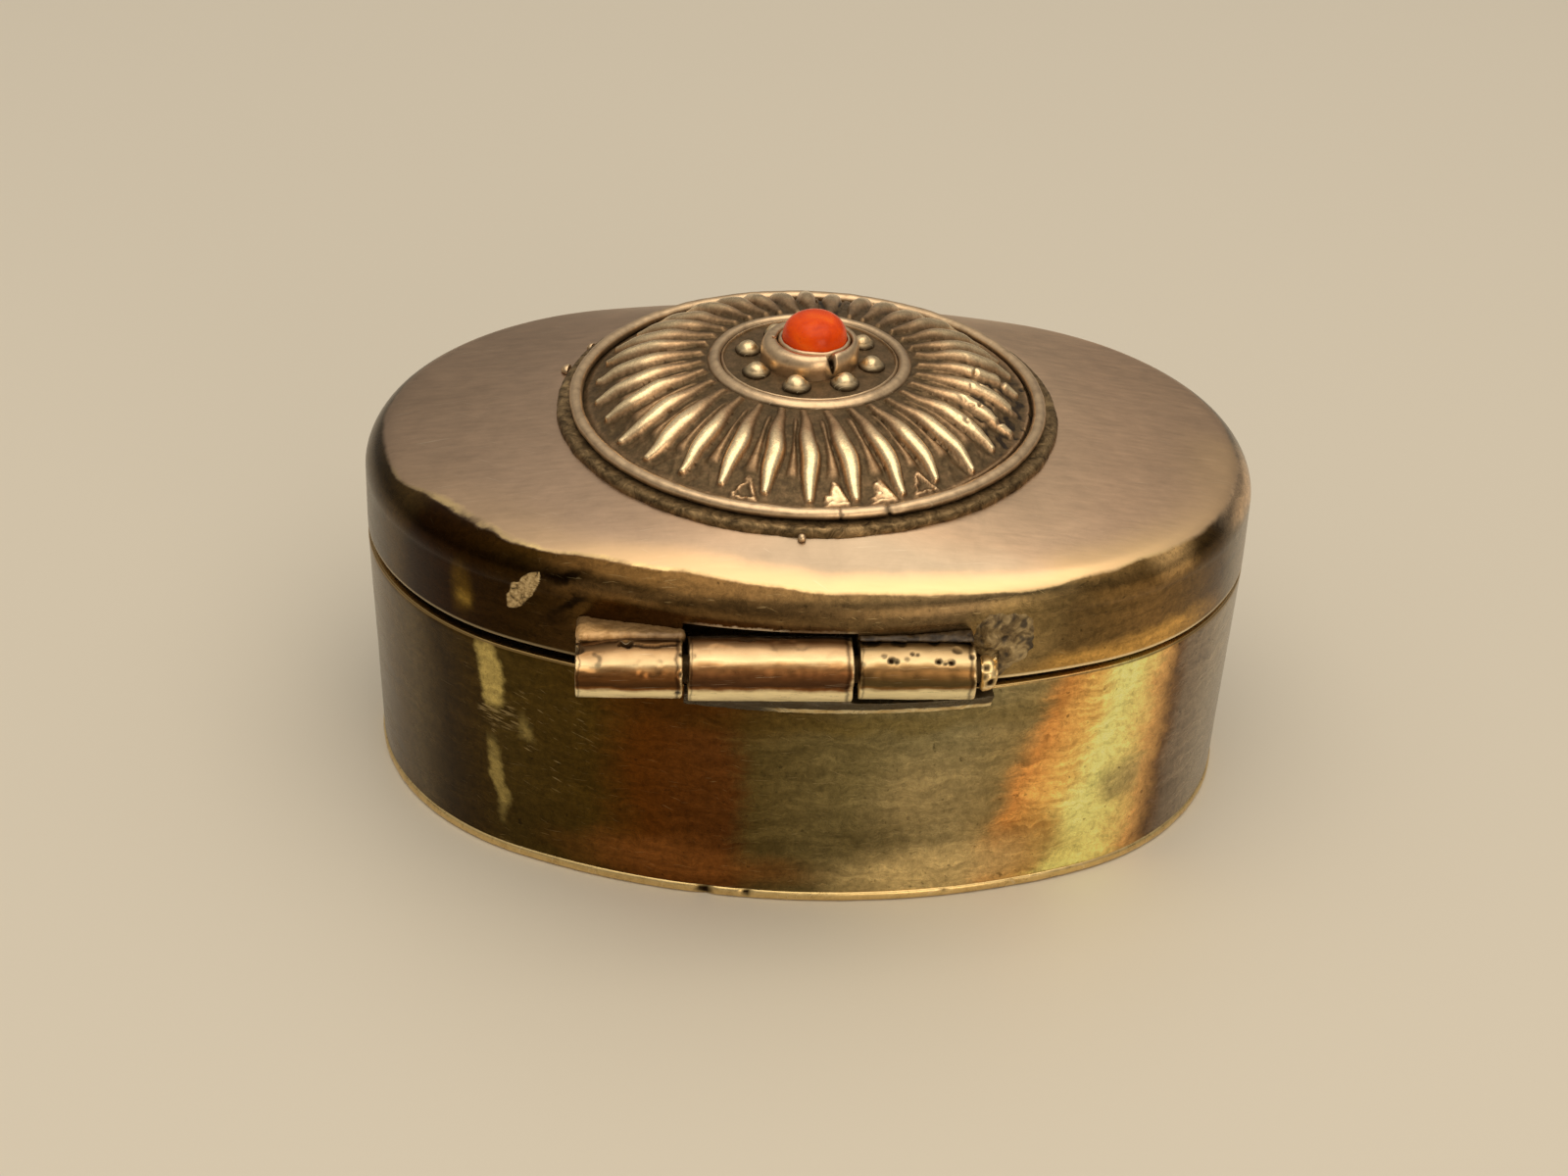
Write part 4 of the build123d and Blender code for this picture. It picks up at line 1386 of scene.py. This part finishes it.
# How far a ray swings round, in degrees, at a share of its length
def raySwing(shape, share):
    return -shape["swirl"] * (1 - share) ** 2 - shape["hook"] * share ** 3


# Angles of the rays round the dome, struck by eye
def rayAngles(shape):
    angles = []
    for index in range(shape["rays"]):
        base = 360 * index / shape["rays"]
        angle = base + shape["turn"] + shape["crowding"] * math.sin(math.radians(base))
        angles.append((angle + random.uniform(-0.7, 0.7) + 180) % 360 - 180)
    return sorted(angles)


# Height and wear of one ray over the points: a leaf that swells past its middle
# and runs out in a hooked tip
def rayForm(shape, angle, r, turn):
    width = shape["halfWidth"] * random.uniform(0.9, 1.08)
    start, end = shape["inner"], shape["outer"] + random.uniform(-0.25, 0.2)
    relief = shape["relief"] * random.uniform(0.88, 1.08)
    s = np.clip((r - start) / (end - start), 0, 1)
    d = arcLength(turn - angle - raySwing(shape, s), r) + 0.05 * np.sin(r * 2.1 + angle)
    half = width * (0.36 + 0.64 * np.sin(math.pi * s ** 1.3) ** 1.05)
    across = np.clip(1 - np.abs(d / half) ** 2.4, 0, 1) ** 0.62
    along = 0.5 + 0.5 * smoothStep(0.1, 0.55, s)
    along *= 1 - 0.4 * smoothStep(0.72, 1.0, s)
    ends = window(r, start - 0.1, start + 0.25, end - 0.2, end + 0.08)
    groove = bell(np.abs(d) - half, 0.1, 0.1) * ends * (across < 0.02)
    shown = across * ends * (0.28 + 0.72 * smoothStep(0.1, 0.6, s))
    return across * along * ends * relief, groove, shown, half


# Triangle punched between two tips, point inwards, standing on the flange line
def chevronForm(strength, m, r):
    down = (r - 12.0) / 1.3
    half = 0.7 * np.clip(down, 0, 1)
    edge = bell(np.abs(m), half, 0.15) * window(down, -0.1, 0.05, 1.0, 1.15)
    foot = bell(r, 13.3, 0.14) * (1 - smoothStep(0.72, 0.9, np.abs(m)))
    form = np.maximum(edge, foot)
    if strength > 0.9:
        filled = 1 - smoothStep(half - 0.05, half + 0.1, np.abs(m))
        form = np.maximum(form, filled * window(down, 0, 0.1, 1.0, 1.1))
    return form


def makeDome(shape):
    inner, outer, rim = shape["inner"], shape["outer"], shape["profile"][0][-1]
    radii = list(np.linspace(rim, 6.2, 100)) + list(np.linspace(6.0, 0.0, 8))
    heights = curveThrough(*shape["profile"], np.array(radii))
    section = list(zip(radii, heights)) + shape["under"] + [(rim, heights[0])]
    share = np.clip((np.array(section)[:, 0] - inner) / (outer - inner), 0, 1)
    piece = turnedPiece("medallion_sunburst", section, medallion["x"], shape["columns"],
                        raySwing(shape, share))
    points = readPoints(piece)
    r, turn = polar(points, medallion["x"])
    top = points[:, 2] > curveThrough(*shape["profile"], r) - 0.02
    lift = np.zeros(len(points))
    wear = np.full(len(points), 0.17)
    crumbs = noiseAt(points, 0.32, 54)
    rays = rayAngles(shape)
    for index, angle in enumerate(rays):
        ridge, groove, shown, half = rayForm(shape, angle, r, turn)
        lift = np.maximum(lift, ridge) - 0.14 * groove
        wear = np.maximum(wear, 0.17 + 0.83 * shown) - 0.3 * groove

        # Between this ray and the next: a low petal, and a punched triangle
        gap = (rays[(index + 1) % len(rays)] - angle) % 360
        lag = 2.0 * (1 - np.clip((r - 6.4) / 6.7, 0, 1)) ** 2
        m = arcLength(turn - angle - gap / 2 + lag, r)
        petalWidth = np.maximum(0.08, np.radians(gap) * r / 2 - half - 0.24)
        petal = np.clip(1 - (m / petalWidth) ** 2, 0, 1) ** 0.7 * window(r, 7.0, 7.8, 11.4, 12.1)
        lift = np.maximum(lift, 0.2 * petal * (ridge < 0.03))
        wear = np.maximum(wear, 0.42 * petal * (shown < 0.02))
        near = min(shape["bright"], key=lambda place: abs(place - angle - gap / 2))
        known = abs(near - angle - gap / 2) < gap / 2
        strength = shape["bright"][near] if known else 0.0
        form = chevronForm(strength, m + shape["ragged"] * crumbs, r + shape["ragged"] * crumbs)
        form *= (1 if known else random.uniform(0.1, 0.4)) * np.clip(0.8 + 0.5 * crumbs, 0.3, 1)
        lift = np.maximum(lift, 0.24 * form)
        wear = np.maximum(wear, (0.25 + 0.75 * strength) * form)

    # The flange round the rays, the bruised part, and wiping and pits everywhere
    side, flange = window(turn, 35, 50, 140, 155), bell(r, 13.5, 0.15)
    lift += (0.06 + 0.16 * side) * flange
    wear += (0.1 + 0.2 * side) * flange
    low, high = shape["broken"]
    bruised = window(turn, low - 8, low, high, high + 8) * smoothStep(9.2, 10.2, r)
    ragged = smoothStep(0.05, 0.35, noiseAt(points, 0.55, 51))
    lift -= bruised * lift * ragged * 0.55
    wear -= bruised * ragged * 0.45
    valley = lift < 0.1
    lift += 0.03 * noiseAt(points, 0.9, 52)
    lift += np.where(valley, 0.028, 0.006) * noiseAt(points, 0.3, 53)
    wear = np.where(r < 6.2, 0.2, wear)
    lift = np.where(r > rim - 0.09, np.minimum(lift, 0), lift)
    writePoints(piece, points + readNormals(piece) * (lift * top)[:, None])
    writeValues(piece, "wear", np.clip(wear, 0, 1))
    finishPiece(piece, "lid", ["medallion_dome"], [oxidisedSilver], 70)


makeDome(domeShape)

# Ring round the raised middle: a flattened band with a chased line inside it
ringShape = {"inner": 5.22, "outer": 6.28, "foot": 26.45, "top": 27.0, "columns": 420}


def makeInnerRing(inner, outer, foot, top, columns):
    edge = [(0, 0.2), (0.07, 0.13), (0.15, 0.17), (0.22, 0.27), (0.3, 0.12), (0.4, 0.02),
            (0.55, 0), (0.72, 0.03), (0.86, 0.11), (0.97, 0.24), (outer - inner, 0.36)]
    section = [(inner, foot)] + [(inner + way, top - down) for way, down in edge]
    section += [(outer, foot), (inner, foot)]
    piece = turnedPiece("inner_band", section, medallion["x"], columns)
    sinkSurface(piece, 0.05, 1.6, 61)
    sinkSurface(piece, 0.025, 0.5, 62)
    reach = polar(readPoints(piece), medallion["x"])[0]
    # Darker in the chased line, with painted shade where the band's foot meets the field
    grime = np.maximum(bell(reach - inner, 0.21, 0.07), smoothStep(outer - 0.1, outer, reach))
    writeValues(piece, "grime", grime * 0.9)
    finishPiece(piece, "lid", ["inner_ring"], [wireSilver], 60)


makeInnerRing(**ringShape)

# Eight beads melted on charcoal, so round but not true, spread at the foot as if
# sunk into flux; shade is painted over their lower halves
granuleShape = {"count": 8, "circle": 3.85, "radius": 0.7, "spread": 0.09, "turn": -11.6}


def makeGranules(count, circle, radius, spread, turn):
    for index in range(count):
        angle = math.radians(turn + 360 * index / count)
        size = radius * (1 + spread * math.cos(angle))
        centre = Vector((medallion["x"] + circle * math.sin(angle), -circle * math.cos(angle),
                         medallion["fieldTop"] - 0.04))
        bpy.ops.object.select_all(action="DESELECT")
        bpy.ops.mesh.primitive_ico_sphere_add(subdivisions=5, radius=size)
        piece = bpy.context.object
        piece.name = piece.data.name = "silver_bead_%d" % (index + 1)
        points = readPoints(piece)
        for depth, grain, seed in ((0.16, 0.75, 71), (0.05, 0.25, 72)):
            points *= (1 - depth * roughAt(points + index * 9.0, grain, seed))[:, None]
        height = points[:, 2] / size
        skirt = 1 + 0.3 * smoothStep(0.4, 0.05, height) * (points[:, 2] > -0.1)
        points[:, :2] *= skirt[:, None]
        writePoints(piece, points + np.array(centre))
        # Painted shade over each bead's lower half
        writeValues(piece, "grime", smoothStep(0.55, 0.1, height) * 0.9)
        finishPiece(piece, "lid", ["granules"], [beadSilver], 80)


makeGranules(**granuleShape)

# Collar under the stone: thick, rounded, its joint sprung open at the front. The
# bore is round the stone, the outside round the medallion's middle.
collarShape = {"outer": 3.05, "bore": 2.24, "foot": 26.6, "top": 28.3, "split": 22.5,
               "columns": 420}


def makeCollar(outer, bore, foot, top, split, columns):
    edge = [(0.0, 0.3), (0.05, 0.1), (0.18, 0.02), (0.34, 0), (0.5, 0.03), (0.66, 0.1), (0.8, 0.24),
            (0.92, 0.44), (0.98, 0.66), (1.0, 0.9), (0.98, 1.15)]
    rows = [(0.0, foot)] + [(k, top - down) for k, down in edge] + [(1.0, foot), (0.0, foot)]
    piece = turnedPiece("bezel_collar_ring", [(bore + (outer - bore) * k, z) for k, z in rows],
                        [k * medallion["x"] for k, z in rows], columns)
    sinkSurface(piece, 0.07, 1.3, 81)
    points = readPoints(piece)
    reach, turn = polar(points, 0.0)
    away = np.abs(turn - split - 1.2 * (reach - 2.6)) / 6.2
    notch = np.clip(1 - away, 0, 1) * smoothStep(2.1, 2.5, reach)
    notch *= smoothStep(26.9, 28.0, points[:, 2])
    points[:, 2] -= 0.62 * notch
    points[:, 2] += 0.05 * bell(turn, split + 14, 8.0) * (points[:, 2] > 27.8)
    # Painted shade in the open joint and over the collar's lower part
    grime = np.clip(notch * 1.6, 0, 1)
    grime = np.maximum(grime, 0.5 * smoothStep(27.3, 26.9, points[:, 2]))
    writePoints(piece, points)
    writeValues(piece, "grime", grime)
    pressMarks(piece, [(-2.34, -0.17, 28.25, 0.2, 0.35, 1.0), (0.9, -2.6, 27.9, 0.3, 0.04, 0.3)])
    finishPiece(piece, "lid", ["bezel_collar"], [wireSilver], 60)


makeCollar(**collarShape)

# Thin lip of the cup that holds the stone, burnished over it unevenly
lipShape = {"inner": 2.03, "outer": 2.2, "foot": 26.7, "top": 28.32, "columns": 240}


def makeLip(inner, outer, foot, top, columns):
    section = [(inner, foot), (inner, top - 0.3), (inner - 0.04, top - 0.06), (inner - 0.01, top),
               (inner + 0.06, top), (outer - 0.03, top - 0.06), (outer, top - 0.2), (outer, foot),
               (inner, foot)]
    piece = turnedPiece("bezel_lip_ring", section, 0.0, columns)
    points = readPoints(piece)
    upper = smoothStep(27.9, 28.3, points[:, 2])
    points[:, 2] -= upper * 0.1 * roughAt(points, 0.7, 85)
    writePoints(piece, points)
    writeValues(piece, "grime", 0.5 * (1 - upper))
    finishPiece(piece, "lid", ["bezel_lip"], [wireSilver], 60)


makeLip(**lipShape)

# The coral, a little off round, set low in its cup
coralShape = {"radius": 2.0, "waist": 28.21, "top": 29.86, "foot": 26.95, "columns": 200}


def makeCoralStone(radius, waist, top, foot, columns):
    section = [(0.0, foot), (radius - 0.3, foot), (radius - 0.12, foot + 0.2),
               (radius - 0.03, waist - 0.5), (radius, waist - 0.1)]
    section += [(radius * math.cos(turn) ** 0.8, waist + (top - waist) * math.sin(turn) ** 0.86)
                for turn in np.radians(range(0, 90, 3))]
    piece = turnedPiece("coral_stone", section + [(0.0, top)], 0.0, columns)
    sinkSurface(piece, 0.04, 1.6, 91)
    sinkSurface(piece, 0.008, 0.3, 92)
    finishPiece(piece, "lid", ["coral"], [coralStone], 60)


makeCoralStone(**coralShape)
print("medallion is ready")
